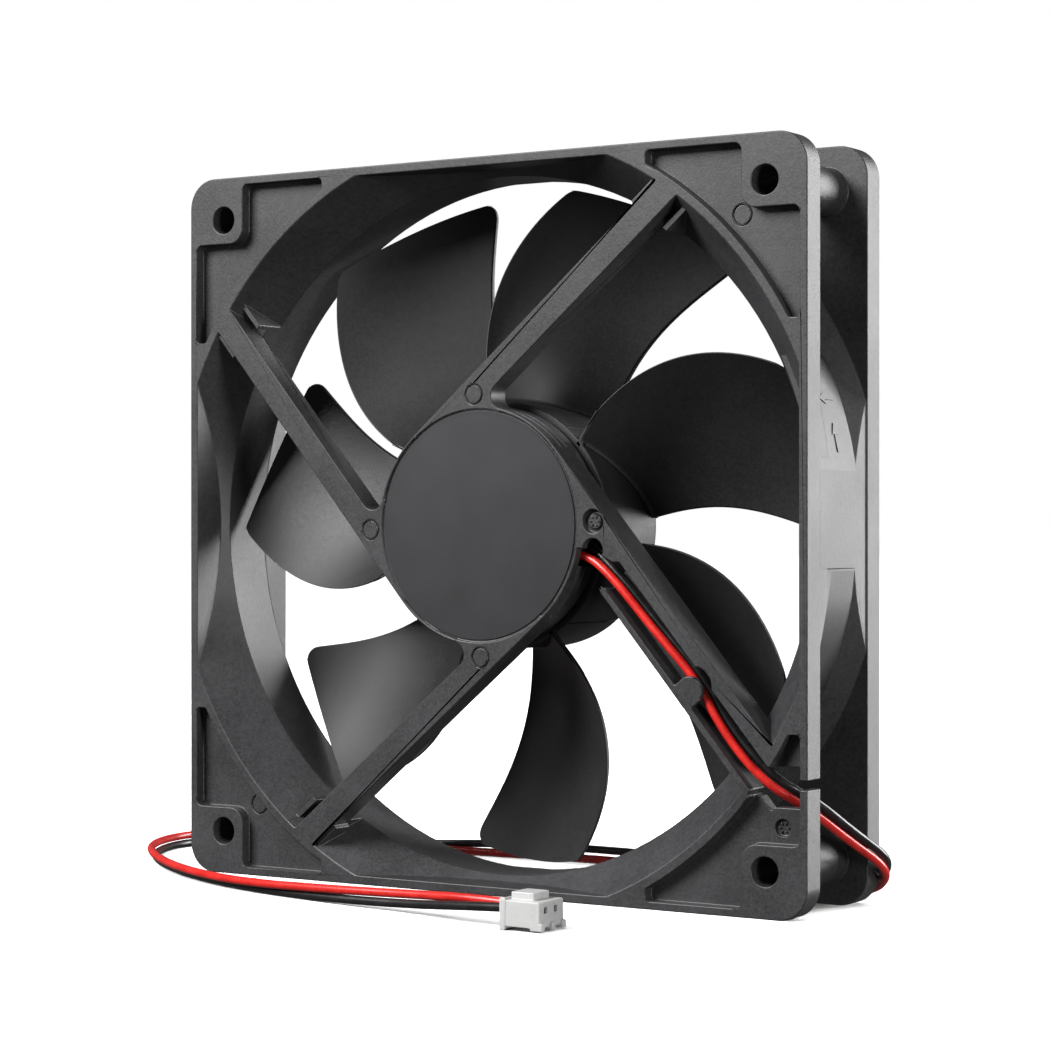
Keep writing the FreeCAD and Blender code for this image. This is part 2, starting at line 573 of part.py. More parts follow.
def make_lead():
    """Two insulated conductors, the plug housing they end in, and its crimp contacts."""
    add("wire_red", tube_along(RED_ROUTE, WIRE_D))
    add("wire_black", tube_along(BLACK_ROUTE, WIRE_D))
    x_0 = PLUG_WIRE_END_X
    x_1 = x_0 + PLUG_LENGTH
    half = 3.4
    low = PLUG_CENTRE_Y - half
    high = PLUG_CENTRE_Y + half
    solids = [block(x_0, x_0 + 1.0, low - 0.1, high + 0.1, FLOOR_Z, FLOOR_Z + 4.75),
              block(x_0 + 1.0, x_1, low, high, FLOOR_Z + 0.65, FLOOR_Z + 4.55),
              block(x_0 + 1.3, x_0 + 5.2, low + 1.2, high - 1.2, FLOOR_Z + 4.5, FLOOR_Z + 5.7)]
    for y in (low, PLUG_CENTRE_Y - 0.5, high - 1.0):
        solids.append(block(x_1 - 1.6, x_1 + 0.5, y, y + 1.0, FLOOR_Z + 0.2, FLOOR_Z + 1.4))
    housing = fused(solids)
    level = FLOOR_Z + PLUG_CAVITY_UP
    for sign, node in ((1, "contact_red"), (-1, "contact_black")):
        y = PLUG_CENTRE_Y + sign * PLUG_PITCH / 2
        housing = housing.cut(block(x_0 - 1, x_1 - 0.6, y - 0.95, y + 0.95, level - 0.95, level + 0.95))
        housing = housing.cut(block(x_0, x_1 + 1, y - 0.45, y + 0.45, level - 0.45, level + 0.45))
        contact = block(x_0 + 2.0, x_1 - 0.8, y - 0.8, y + 0.8, level - 0.8, level + 0.8)
        add(node, contact.cut(block(x_0 + 3.0, x_1, y - 0.5, y + 0.5, level - 0.5, level + 0.5)))
    add("connector_housing", housing)


def write_parts():
    """Lift every piece onto its standing surface and write it."""
    os.makedirs("parts", exist_ok=True)
    for node, shape in parts.items():
        placed = shape.copy()
        placed.translate(V(0, 0, HALF))
        if len(placed.Solids) != 1 or not placed.isValid():
            print("check", node, "solids", len(placed.Solids), "valid", placed.isValid())
        if len(placed.Solids) == 1:
            placed = placed.Solids[0]
        placed.exportStep(os.path.join("parts", node + ".step"))


make_frame()
make_bearing()
make_stator()
make_board()
make_rotor()
make_lead()
write_parts()
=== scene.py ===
"""Looks of a 120 mm case fan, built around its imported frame.

Every piece is in metres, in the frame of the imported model: +Z is up, the spin axis runs along Y
at SPIN_HEIGHT, and the strut side, where the air leaves, faces -Y. Sizes written as mm are
turned into metres by the helpers that take them.
"""

import logging  # noqa: E402
import math  # noqa: E402
from collections.abc import Callable, Iterable, Mapping, Sequence  # noqa: E402
from dataclasses import dataclass, field  # noqa: E402
from enum import Enum  # noqa: E402

import bmesh  # noqa: E402
import bpy  # noqa: E402
from mathutils import Matrix, Vector  # noqa: E402


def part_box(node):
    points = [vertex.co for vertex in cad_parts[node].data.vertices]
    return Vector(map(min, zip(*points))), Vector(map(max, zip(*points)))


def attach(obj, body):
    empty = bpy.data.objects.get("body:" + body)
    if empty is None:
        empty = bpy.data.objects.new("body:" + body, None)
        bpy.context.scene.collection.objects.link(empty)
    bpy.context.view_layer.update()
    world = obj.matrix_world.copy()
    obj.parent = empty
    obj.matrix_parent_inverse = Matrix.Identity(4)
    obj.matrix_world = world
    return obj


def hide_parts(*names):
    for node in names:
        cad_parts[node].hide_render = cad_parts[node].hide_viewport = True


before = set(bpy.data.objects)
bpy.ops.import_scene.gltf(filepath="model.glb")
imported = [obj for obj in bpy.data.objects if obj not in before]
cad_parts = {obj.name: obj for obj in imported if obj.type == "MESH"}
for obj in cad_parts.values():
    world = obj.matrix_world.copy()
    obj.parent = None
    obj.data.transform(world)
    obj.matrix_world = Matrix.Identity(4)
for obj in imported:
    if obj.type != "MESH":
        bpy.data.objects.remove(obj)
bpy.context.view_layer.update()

LOG = logging.getLogger("case_fan")
MM = 0.001
SPIN_HEIGHT = (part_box("frame")[0].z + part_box("frame")[1].z) / 2

Colour = tuple[float, float, float]
Point = tuple[float, float, float]


class Body(Enum):
    """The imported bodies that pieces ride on."""

    HOUSING = "housing"
    ROTOR = "rotor"


# ---------------------------------------------------------------- node trees
class Signal:
    """One socket's value in a node tree, for use in a Python expression."""

    def __init__(self, sheet: "NodeSheet", socket: bpy.types.NodeSocket) -> None:
        """Keep the socket, and the sheet that new Math nodes go on."""
        self.sheet = sheet
        self.socket = socket

    def maths(self, operation: str, *values: "Signal | float") -> "Signal":
        """Add one Math node.

        Args:
            operation: The Math node's operation.
            values: Its inputs, in order.

        Returns:
            The node's result.
        """
        node = self.sheet.node("ShaderNodeMath", {"operation": operation}, dict(enumerate(values)))
        return Signal(self.sheet, node.outputs[0])

    def __add__(self, other: "Signal | float") -> "Signal":
        """Self plus other."""
        return self.maths("ADD", self, other)

    def __radd__(self, other: float) -> "Signal":
        """Other plus self."""
        return self.maths("ADD", other, self)

    def __sub__(self, other: "Signal | float") -> "Signal":
        """Self less other."""
        return self.maths("SUBTRACT", self, other)

    def __rsub__(self, other: float) -> "Signal":
        """Other less self."""
        return self.maths("SUBTRACT", other, self)

    def __mul__(self, other: "Signal | float") -> "Signal":
        """Self times other."""
        return self.maths("MULTIPLY", self, other)

    def __rmul__(self, other: float) -> "Signal":
        """Other times self."""
        return self.maths("MULTIPLY", other, self)

    def __truediv__(self, other: "Signal | float") -> "Signal":
        """Self over other."""
        return self.maths("DIVIDE", self, other)

    def __mod__(self, other: "Signal | float") -> "Signal":
        """What is left of self over other, never below zero."""
        return self.maths("FLOORED_MODULO", self, other)

    def __neg__(self) -> "Signal":
        """Self with its sign turned."""
        return self.maths("MULTIPLY", self, -1.0)

    def __abs__(self) -> "Signal":
        """Self without its sign."""
        return self.maths("ABSOLUTE", self)

    def root(self) -> "Signal":
        """The square root."""
        return self.maths("SQRT", self)

    def sine(self) -> "Signal":
        """The sine."""
        return self.maths("SINE", self)

    def cosine(self) -> "Signal":
        """The cosine."""
        return self.maths("COSINE", self)

    def ramp(self, low: float, high: float) -> "Signal":
        """Self rising smoothly from 0 at low to 1 at high."""
        node = self.sheet.node(
            "ShaderNodeMapRange", {"interpolation_type": "SMOOTHSTEP"}, {0: self, 1: low, 2: high}
        )
        return Signal(self.sheet, node.outputs[0])


SocketValue = Signal | bpy.types.NodeSocket | float | int | tuple | bpy.types.ID


class NodeSheet:
    """Puts nodes on one tree, for a material or for geometry."""

    def __init__(self, tree: bpy.types.NodeTree) -> None:
        """Start from an empty tree."""
        self.tree = tree
        tree.nodes.clear()

    def node(
        self,
        kind: str,
        settings: Mapping[str, object] | None = None,
        sockets: Mapping[int | str, SocketValue] | None = None,
    ) -> bpy.types.Node:
        """Add one node.

        Args:
            kind: The node's type.
            settings: Its own settings, set before its sockets. Stops is a colour ramp's stops.
            sockets: A value or a link for each input, by name or index.

        Returns:
            The node.
        """
        made = self.tree.nodes.new(kind)
        for name, value in (settings or {}).items():
            if name == "stops":
                self._stops(made, value)
            else:
                setattr(made, name, value)
        for key, value in (sockets or {}).items():
            source = value.socket if isinstance(value, Signal) else value
            if isinstance(source, bpy.types.NodeSocket):
                self.tree.links.new(source, made.inputs[key])
            else:
                made.inputs[key].default_value = source
        return made

    @staticmethod
    def _stops(ramp: bpy.types.Node, stops: Sequence[tuple[float, Colour]]) -> None:
        """Give a colour ramp its stops."""
        elements = ramp.color_ramp.elements
        while len(elements) < len(stops):
            elements.new(1.0)
        for element, (place, colour) in zip(elements, stops):
            element.position = place
            element.color = (*colour, 1.0)

    def signal(self, node: bpy.types.Node, output: int | str = 0) -> Signal:
        """A node's output as a signal."""
        return Signal(self, node.outputs[output])

    def place(self) -> Signal:
        """The point on the piece, in metres in the frame of the part."""
        return self.signal(self.node("ShaderNodeTexCoord"), "Object")

    def split(self, vector: Signal) -> tuple[Signal, Signal, Signal]:
        """A vector's three numbers."""
        node = self.node("ShaderNodeSeparateXYZ", None, {0: vector})
        return self.signal(node, 0), self.signal(node, 1), self.signal(node, 2)

    def vector(self, x: SocketValue, y: SocketValue, z: SocketValue) -> Signal:
        """Three numbers as a vector."""
        return self.signal(self.node("ShaderNodeCombineXYZ", None, {0: x, 1: y, 2: z}))

    def noise(self, vector: Signal, size_mm: float, detail: float = 2.0, rough: float = 0.5) -> Signal:
        """Cloudy noise from 0 to 1.

        Args:
            vector: Where it is read, in metres.
            size_mm: The size of its features.
            detail: How many finer layers it has.
            rough: How strong the finer layers are.

        Returns:
            The noise.
        """
        sockets = {"Vector": vector, "Scale": 1.0 / (size_mm * MM), "Detail": detail, "Roughness": rough}
        return self.signal(self.node("ShaderNodeTexNoise", None, sockets))

    def tint(self, factor: Signal, low: Colour, high: Colour) -> Signal:
        """A colour between two, by a factor."""
        sockets = {0: factor, 6: (*low, 1.0), 7: (*high, 1.0)}
        return self.signal(self.node("ShaderNodeMix", {"data_type": "RGBA"}, sockets), 2)

    def relief(self, height: Signal, depth_mm: float, strength: float = 1.0) -> Signal:
        """The normal of a surface with a height pattern from 0 to 1 of that depth."""
        sockets = {"Height": height, "Distance": depth_mm * MM, "Strength": strength}
        return self.signal(self.node("ShaderNodeBump", None, sockets))


# ---------------------------------------------------------------- finishes
@dataclass(frozen=True)
class Finish:
    """What every finish has. A kind of finish adds its own fields and its paint method."""

    name: str
    slot: str

    def material(self) -> bpy.types.Material:
        """The finish's material, made the first time it is asked for."""
        found = bpy.data.materials.get(self.name)
        if found is not None:
            return found
        made = bpy.data.materials.new(self.name)
        made.use_nodes = True
        sheet = NodeSheet(made.node_tree)
        shader = sheet.node("ShaderNodeBsdfPrincipled")
        for key, value in self.paint(sheet).items():
            if isinstance(value, Signal):
                sheet.tree.links.new(value.socket, shader.inputs[key])
            else:
                shader.inputs[key].default_value = value
        sheet.node("ShaderNodeOutputMaterial", None, {"Surface": shader.outputs[0]})
        return made

    def paint(self, sheet: NodeSheet) -> dict[str, SocketValue]:
        """The shader's inputs by name."""
        raise NotImplementedError


@dataclass(frozen=True)
class MouldedPlastic(Finish):
    """Injection moulded plastic with a fine spark-eroded grain."""

    dark: Colour
    light: Colour
    roughness: float
    grain_mm: float = 0.35
    grain_depth_mm: float = 0.02
    specular: float = 0.5
    milky: float = 0.0

    def paint(self, sheet: NodeSheet) -> dict[str, SocketValue]:
        """Grain in the surface, and faint flow marks in the colour and the gloss."""
        place = sheet.place()
        grain = sheet.noise(place, self.grain_mm, 3.0, 0.6)
        pits = sheet.noise(place, self.grain_mm * 2.7, 1.0, 0.5)
        flow = sheet.noise(place, 14.0, 2.0, 0.55)
        tone = grain * 0.45 + pits * 0.2 + flow * 0.35
        height = grain * 0.7 + pits * 0.3
        return {
            "Base Color": sheet.tint(tone.ramp(0.3, 0.7), self.dark, self.light),
            "Roughness": self.roughness + (flow - 0.5) * 0.12 + (grain - 0.5) * 0.16,
            "Normal": sheet.relief(height, self.grain_depth_mm),
            "Specular IOR Level": self.specular,
            "Subsurface Weight": self.milky,
            "Subsurface Radius": (1.5 * MM, 1.4 * MM, 1.2 * MM),
            "Subsurface Scale": 1.0,
        }


@dataclass(frozen=True)
class WireSleeve(Finish):
    """Extruded PVC insulation, glossy with faint drag lines and handling scuffs."""

    dark: Colour
    light: Colour
    roughness: float = 0.3

    def paint(self, sheet: NodeSheet) -> dict[str, SocketValue]:
        """Cloudy colour, duller scuffs and a slightly uneven skin."""
        place = sheet.place()
        cloud = sheet.noise(place, 2.6, 2.0)
        skin = sheet.noise(place, 0.5, 2.0)
        scuff = sheet.noise(place, 1.1, 3.0, 0.7).ramp(0.56, 0.72)
        return {
            "Base Color": sheet.tint((cloud * 0.6 + skin * 0.4).ramp(0.3, 0.7), self.dark, self.light),
            "Roughness": self.roughness + scuff * 0.25,
            "Normal": sheet.relief(skin, 0.008),
            "Coat Weight": 0.25,
            "Coat Roughness": 0.2,
        }


@dataclass(frozen=True)
class LabelFilm(Finish):
    """Matte polyester film with a fine embossed tooth."""

    dark: Colour
    light: Colour

    def paint(self, sheet: NodeSheet) -> dict[str, SocketValue]:
        """A fine even tooth, broad soft ripples from the adhesive, and a duller edge."""
        place = sheet.place()
        tooth = sheet.noise(place, 0.22, 2.0, 0.6)
        ripple = sheet.noise(place, 7.0, 1.0)
        x, _, z = sheet.split(place)
        up = z - SPIN_HEIGHT
        edge = (x * x + up * up).root().ramp(17.6 * MM, 18.5 * MM)
        tone = (tooth * 0.6 + ripple * 0.4).ramp(0.25, 0.75)
        return {
            "Base Color": sheet.tint(tone, self.dark, self.light),
            "Roughness": 0.72 + (tooth - 0.5) * 0.14 + edge * 0.08,
            "Specular IOR Level": 0.25,
            "Normal": sheet.relief(tooth * 0.5 + ripple * 0.5, 0.012),
        }


@dataclass(frozen=True)
class TurnedMetal(Finish):
    """Metal with lathe rings round the spin axis and a little tarnish."""

    dark: Colour
    light: Colour
    roughness: float
    ring_mm: float = 0.12
    pores: float = 0.0

    def paint(self, sheet: NodeSheet) -> dict[str, SocketValue]:
        """Rings by the distance from the axis and the depth along it, tarnish, and open pores."""
        place = sheet.place()
        x, y, z = sheet.split(place)
        up = z - SPIN_HEIGHT
        away = (x * x + up * up).root()
        rings = sheet.noise(sheet.vector(away, y, 0.0), self.ring_mm, 2.0, 0.7)
        tarnish = sheet.noise(place, 3.5, 3.0, 0.6)
        pore = sheet.noise(place, 0.18, 1.0).ramp(0.62, 0.72) * self.pores
        tone = (rings * 0.5 + tarnish * 0.5).ramp(0.3, 0.7) * (1.0 - pore)
        return {
            "Base Color": sheet.tint(tone, self.dark, self.light),
            "Metallic": 1.0,
            "Roughness": self.roughness + (tarnish - 0.5) * 0.2 + pore * 0.3,
            "Normal": sheet.relief(rings * 0.6 - pore, 0.012),
        }


@dataclass(frozen=True)
class PlatedMetal(Finish):
    """Plated or soft soldered metal with a cloudy surface."""

    dark: Colour
    light: Colour
    roughness: float
    lump_mm: float = 0.6

    def paint(self, sheet: NodeSheet) -> dict[str, SocketValue]:
        """Clouds in the plating, with soft lumps under it."""
        place = sheet.place()
        cloud = sheet.noise(place, self.lump_mm, 3.0, 0.6)
        fine = sheet.noise(place, self.lump_mm * 0.25, 2.0)
        return {
            "Base Color": sheet.tint(cloud.ramp(0.3, 0.7), self.dark, self.light),
            "Metallic": 1.0,
            "Roughness": self.roughness + (fine - 0.5) * 0.24,
            "Normal": sheet.relief(cloud * 0.7 + fine * 0.3, 0.03),
        }


@dataclass(frozen=True)
class SheetStack(Finish):
    """Stamped steel sheets stacked along the spin axis, varnished at the edges."""

    dark: Colour
    light: Colour
    sheet_mm: float = 0.5

    def paint(self, sheet: NodeSheet) -> dict[str, SocketValue]:
        """A dark joint between each two sheets, and grinding marks on them."""
        place = sheet.place()
        _, y, _ = sheet.split(place)
        level = (y / (self.sheet_mm * MM)) % 1.0
        joint = 1.0 - abs(level - 0.5).ramp(0.36, 0.46)
        grind = sheet.noise(place, 0.4, 3.0, 0.7)
        return {
            "Base Color": sheet.tint(joint * grind.ramp(0.1, 0.7), self.dark, self.light),
            "Metallic": 0.9,
            "Roughness": 0.45 + (grind - 0.5) * 0.3,
            "Normal": sheet.relief(joint * 0.7 + grind * 0.3, 0.05),
        }


@dataclass(frozen=True)
class BoardMask(Finish):
    """Green solder mask over glass cloth, with copper tracks showing as a lighter relief."""

    bare: Colour
    track: Colour

    def paint(self, sheet: NodeSheet) -> dict[str, SocketValue]:
        """Ring and spoke tracks, and the weave of the cloth."""
        place = sheet.place()
        x, _, z = sheet.split(place)
        up = z - SPIN_HEIGHT
        away = (x * x + up * up).root() / MM
        wander = sheet.noise(place, 6.0, 1.0) * 1.6
        rings = abs(((away + wander) / 2.3) % 1.0 - 0.5).ramp(0.22, 0.27)
        weave = ((x * (math.pi / (0.45 * MM))).sine() * (up * (math.pi / (0.45 * MM))).sine()) * 0.5 + 0.5
        tone = rings * 0.8 + weave * 0.2
        return {
            "Base Color": sheet.tint(tone, self.bare, self.track),
            "Roughness": 0.28 + weave * 0.1,
            "Normal": sheet.relief(rings * 0.8 + weave * 0.2, 0.03),
            "Coat Weight": 0.4,
        }


@dataclass(frozen=True)
class PressedFerrite(Finish):
    """Bonded ferrite: dull, faintly crystalline."""

    dark: Colour
    light: Colour

    def paint(self, sheet: NodeSheet) -> dict[str, SocketValue]:
        """Crystal speckle over cloudy grey."""
        place = sheet.place()
        cells = sheet.node("ShaderNodeTexVoronoi", None, {"Vector": place, "Scale": 1.0 / (0.35 * MM)})
        speck = sheet.signal(cells, "Distance")
        cloud = sheet.noise(place, 3.0, 2.0)
        return {
            "Base Color": sheet.tint((speck * 0.5 + cloud * 0.5).ramp(0.25, 0.7), self.dark, self.light),
            "Roughness": 0.62 + (cloud - 0.5) * 0.2,
            "Normal": sheet.relief(speck, 0.02),
        }


FRAME_BLACK = MouldedPlastic(
    "frame_grained_black", "frame_plastic", (0.022, 0.022, 0.0235), (0.056, 0.056, 0.059), 0.44,
    grain_mm=0.42, grain_depth_mm=0.03,
)
ROTOR_BLACK = MouldedPlastic(
    "rotor_satin_black", "rotor_plastic", (0.009, 0.009, 0.01), (0.019, 0.019, 0.02), 0.5,
    grain_mm=0.5, grain_depth_mm=0.012, specular=0.5,
)
LABEL_GREY = LabelFilm("label_grey_film", "label_film", (0.031, 0.031, 0.033), (0.043, 0.042, 0.045))
LEAD_RED = WireSleeve("lead_red_pvc", "red_pvc", (0.55, 0.012, 0.01), (0.78, 0.03, 0.022))
LEAD_BLACK = WireSleeve("lead_black_pvc", "black_pvc", (0.008, 0.008, 0.009), (0.022, 0.02, 0.021))
PLUG_WHITE = MouldedPlastic(
    "plug_milky_nylon", "white_nylon", (0.54, 0.54, 0.535), (0.62, 0.62, 0.615), 0.42,
    grain_mm=0.4, grain_depth_mm=0.006, milky=0.35,
)
NATURAL_NYLON = MouldedPlastic(
    "natural_nylon", "wear_nylon", (0.62, 0.6, 0.54), (0.78, 0.76, 0.7), 0.45,
    grain_mm=0.3, grain_depth_mm=0.006, milky=0.3,
)
BRASS = TurnedMetal("turned_brass", "brass", (0.55, 0.37, 0.12), (0.82, 0.62, 0.28), 0.28)
BRONZE = TurnedMetal("sintered_bronze", "bronze", (0.28, 0.16, 0.07), (0.55, 0.36, 0.17), 0.45, pores=1.0)
SHAFT_STEEL = TurnedMetal("ground_steel", "shaft_steel", (0.5, 0.5, 0.51), (0.75, 0.75, 0.76), 0.18, 0.06)
YOKE_STEEL = TurnedMetal("zinc_plated_cup", "yoke_steel", (0.32, 0.33, 0.34), (0.56, 0.57, 0.58), 0.36, 0.5)
CAN_METAL = PlatedMetal("drawn_can", "can", (0.6, 0.6, 0.62), (0.8, 0.8, 0.82), 0.3)
TIN = PlatedMetal("tin_plate", "tin", (0.55, 0.54, 0.5), (0.78, 0.77, 0.73), 0.28, 0.4)
SOLDER = PlatedMetal("soft_solder", "solder", (0.5, 0.5, 0.51), (0.76, 0.76, 0.77), 0.24, 0.8)
LAMINATION = SheetStack("stator_sheets", "lamination", (0.05, 0.05, 0.055), (0.42, 0.43, 0.45))
COPPER = PlatedMetal("enamelled_copper", "copper", (0.42, 0.12, 0.03), (0.72, 0.27, 0.09), 0.3, 0.5)
BOARD = BoardMask("green_solder_mask", "board", (0.008, 0.1, 0.035), (0.03, 0.22, 0.08))
EPOXY = MouldedPlastic(
    "moulded_epoxy", "chip", (0.012, 0.012, 0.013), (0.035, 0.035, 0.037), 0.55,
    grain_mm=0.15, grain_depth_mm=0.01,
)
FERRITE = PressedFerrite("bonded_ferrite", "magnet", (0.018, 0.017, 0.017), (0.06, 0.057, 0.055))


# ---------------------------------------------------------------- mesh helpers
def finish_piece(
    piece: bpy.types.Object, finish: Finish, body: Body, replaced: Iterable[str] = ()
) -> bpy.types.Object:
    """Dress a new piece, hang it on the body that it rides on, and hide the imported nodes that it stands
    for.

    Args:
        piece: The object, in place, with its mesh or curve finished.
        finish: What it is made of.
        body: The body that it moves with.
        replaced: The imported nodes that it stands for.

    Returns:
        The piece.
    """
    piece.data.materials.clear()
    piece.data.materials.append(finish.material())
    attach(piece, body.value)
    if replaced:
        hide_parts(*replaced)
    return piece


def link(name: str, data: bpy.types.ID) -> bpy.types.Object:
    """A new object in the scene, at the origin."""
    made = bpy.data.objects.new(name, data)
    bpy.context.scene.collection.objects.link(made)
    return made


def baked(piece: bpy.types.Object) -> bpy.types.Object:
    """The piece with its modifiers worked into its own mesh."""
    bpy.context.view_layer.update()
    evaluated = piece.evaluated_get(bpy.context.evaluated_depsgraph_get())
    mesh = bpy.data.meshes.new_from_object(evaluated)
    mesh.name = piece.name
    piece.modifiers.clear()
    piece.data = mesh
    return piece


def discard(piece: bpy.types.Object) -> None:
    """Take a helper object out of the file."""
    bpy.data.objects.remove(piece, do_unlink=True)


@dataclass
class EdgeRounding:
    """Rounds the sharp edges of a moulded piece and keeps its flats flat."""

    width_mm: float = 0.3
    segments: int = 2
    sharp_degrees: float = 24.0

    def _average(self, faces: Sequence[bmesh.types.BMFace], near: bmesh.types.BMFace) -> Vector:
        """The shared normal of those faces that run smoothly into the near one, larger ones counting more."""
        total = Vector()
        limit = math.cos(math.radians(self.sharp_degrees))
        for face in faces:
            if face.normal.dot(near.normal) > limit:
                total += face.normal * (face.calc_area() / MM**2 + 1e-6) ** 2
        return total.normalized() if total.length > 0 else near.normal.copy()

    def _corner_normals(self, work: bmesh.types.BMesh, rounded: set[bmesh.types.BMFace]) -> list[Vector]:
        """A normal for each corner of each face.

        Args:
            work: The rounded mesh.
            rounded: The faces that the rounding added.

        Returns:
            The normals, in the order of the mesh's corners.
        """
        plain = {vert: [face for face in vert.link_faces if face not in rounded] for vert in work.verts}
        normals = []
        for face in work.faces:
            for loop in face.loops:
                around = plain[loop.vert]
                if face not in rounded:
                    normals.append(self._average(around, face))
                elif around:
                    nearest = max(around, key=lambda other: other.normal.dot(face.normal))
                    normals.append(self._average(around, nearest))
                else:
                    total = sum((other.normal for other in loop.vert.link_faces), Vector())
                    normals.append(total.normalized() if total.length > 0 else face.normal.copy())
        return normals

    def apply(self, piece: bpy.types.Object) -> bpy.types.Object:
        """Round the edges in the piece's own mesh, set its normals and return the piece."""
        work = bmesh.new()
        work.from_mesh(piece.data)
        work.normal_update()
        limit = math.radians(self.sharp_degrees)
        sharp = [
            edge for edge in work.edges
            if len(edge.link_faces) == 2 and edge.calc_face_angle(0.0) > limit
        ]
        made = bmesh.ops.bevel(
            work, geom=sharp, offset=self.width_mm * MM, offset_type="OFFSET", segments=self.segments,
            profile=0.5, affect="EDGES", clamp_overlap=False, miter_outer="ARC", loop_slide=True,
        )
        work.normal_update()
        normals = self._corner_normals(work, set(made["faces"]))
        for face in work.faces:
            face.smooth = True
        work.to_mesh(piece.data)
        work.free()
        piece.data.normals_split_custom_set(normals)
        return piece


def merged_copy(node: str, name: str, flat_degrees: float = 0.4) -> bpy.types.Object:
    """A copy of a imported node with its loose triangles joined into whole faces.

    Args:
        node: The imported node.
        name: The copy's name.
        flat_degrees: Faces that differ by less than this become one.

    Returns:
        The copy, linked to the scene.
    """
    work = bmesh.new()
    work.from_mesh(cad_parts[node].data)
    bmesh.ops.remove_doubles(work, verts=work.verts, dist=0.002 * MM)
    flat = math.radians(flat_degrees)
    bmesh.ops.join_triangles(
        work, faces=work.faces, angle_face_threshold=flat, angle_shape_threshold=math.pi
    )
    mesh = bpy.data.meshes.new(name)
    work.to_mesh(mesh)
    work.free()
    return link(name, mesh)


def turned_mesh(name: str, profile: Sequence[tuple[float, float]], steps: int = 96) -> bpy.types.Object:
    """A closed solid of revolution about the spin axis.

    Args:
        name: The object's name.
        profile: Its (radius, y) points in mm, from the axis back to the axis.
        steps: How many faces go round it.

    Returns:
        The object, linked to the scene.
    """
    work = bmesh.new()
    rows = []
    for radius, depth in profile:
        count = 1 if radius < 1e-6 else steps
        rows.append([
            work.verts.new((
                radius * MM * math.cos(math.tau * step / steps),
                depth * MM,
                SPIN_HEIGHT + radius * MM * math.sin(math.tau * step / steps),
            ))
            for step in range(count)
        ])
    for low, high in zip(rows, rows[1:]):
        for step in range(steps):
            after = (step + 1) % steps
            corners = [
                low[step % len(low)], low[after % len(low)],
                high[after % len(high)], high[step % len(high)],
            ]
            corners = list(dict.fromkeys(corners))
            if len(corners) > 2:
                work.faces.new(corners)
    bmesh.ops.recalc_face_normals(work, faces=work.faces)
    mesh = bpy.data.meshes.new(name)
    work.to_mesh(mesh)
    work.free()
    return link(name, mesh)


def rounded_profile(
    corners: Sequence[tuple[float, float, float]], steps: int = 4
) -> list[tuple[float, float]]:
    """A (radius, y) outline with its corners rounded.

    Args:
        corners: Each corner's radius from the axis, its y and its rounding, in mm.
        steps: How many points each rounding has, less one.

    Returns:
        The outline's points.
    """
    outline = [(corners[0][0], corners[0][1])]
    for before, corner, after in zip(corners, corners[1:], corners[2:]):
        point = Vector(corner[:2])
        back = (Vector(before[:2]) - point).normalized()
        ahead = (Vector(after[:2]) - point).normalized()
        half = back.angle(ahead) / 2
        if corner[2] <= 0 or half > math.pi / 2 - 0.01:
            outline.append((point.x, point.y))
            continue
        reach = corner[2] / math.tan(half)
        centre = point + (back + ahead).normalized() * (corner[2] / math.sin(half))
        first = point + back * reach - centre
        last = point + ahead * reach - centre
        sweep = first.angle_signed(last)
        for step in range(steps + 1):
            spoke = first.copy()
            spoke.rotate(Matrix.Rotation(-sweep * step / steps, 2))
            outline.append((centre.x + spoke.x, centre.y + spoke.y))
    outline.append((corners[-1][0], corners[-1][1]))
    return outline


# ---------------------------------------------------------------- geometry trees
class GeometryTree:
    """A geometry node tree with named inputs, which ends in realised, dressed geometry."""

    def __init__(self, name: str) -> None:
        """Make the tree with its geometry output and its input for the finish."""
        self.tree = bpy.data.node_groups.new(name, "GeometryNodeTree")
        self.sheet = NodeSheet(self.tree)
        self._take("Body geometry", "NodeSocketGeometry", None)
        self.tree.interface.new_socket(name="Geometry", in_out="OUTPUT", socket_type="NodeSocketGeometry")
        self.values: dict[str, object] = {}
        self.source = self.sheet.node("NodeGroupInput")

    def _take(self, name: str, kind: str, value: object) -> bpy.types.NodeTreeInterfaceSocket:
        """Add one named input to the tree."""
        socket = self.tree.interface.new_socket(name=name, in_out="INPUT", socket_type=kind)
        if value is not None and kind in ("NodeSocketInt", "NodeSocketFloat"):
            socket.default_value = value
        return socket

    def take(self, name: str, kind: str, value: object) -> Signal:
        """Add a named input.

        Args:
            name: What the input is called.
            kind: The socket's type.
            value: What the modifier gives it.

        Returns:
            The input's signal.
        """
        socket = self._take(name, kind, value)
        self.values[socket.identifier] = value
        return self.sheet.signal(self.source, name)

    def finish(self, geometry: Signal, material: bpy.types.Material) -> None:
        """Realise what the tree makes, give it its material and send it out."""
        plastic = self.take("Finish", "NodeSocketMaterial", material)
        solid = self.sheet.node("GeometryNodeRealizeInstances", None, {0: geometry})
        dressed = self.sheet.node(
            "GeometryNodeSetMaterial", None, {"Geometry": solid.outputs[0], "Material": plastic}
        )
        self.sheet.node("NodeGroupOutput", None, {0: dressed.outputs[0]})

    def run(self, piece: bpy.types.Object) -> bpy.types.Object:
        """Work the tree into the piece's own mesh, and return the piece."""
        modifier = piece.modifiers.new(self.tree.name, "NODES")
        modifier.node_group = self.tree
        for identifier, value in self.values.items():
            modifier[identifier] = value
        return baked(piece)


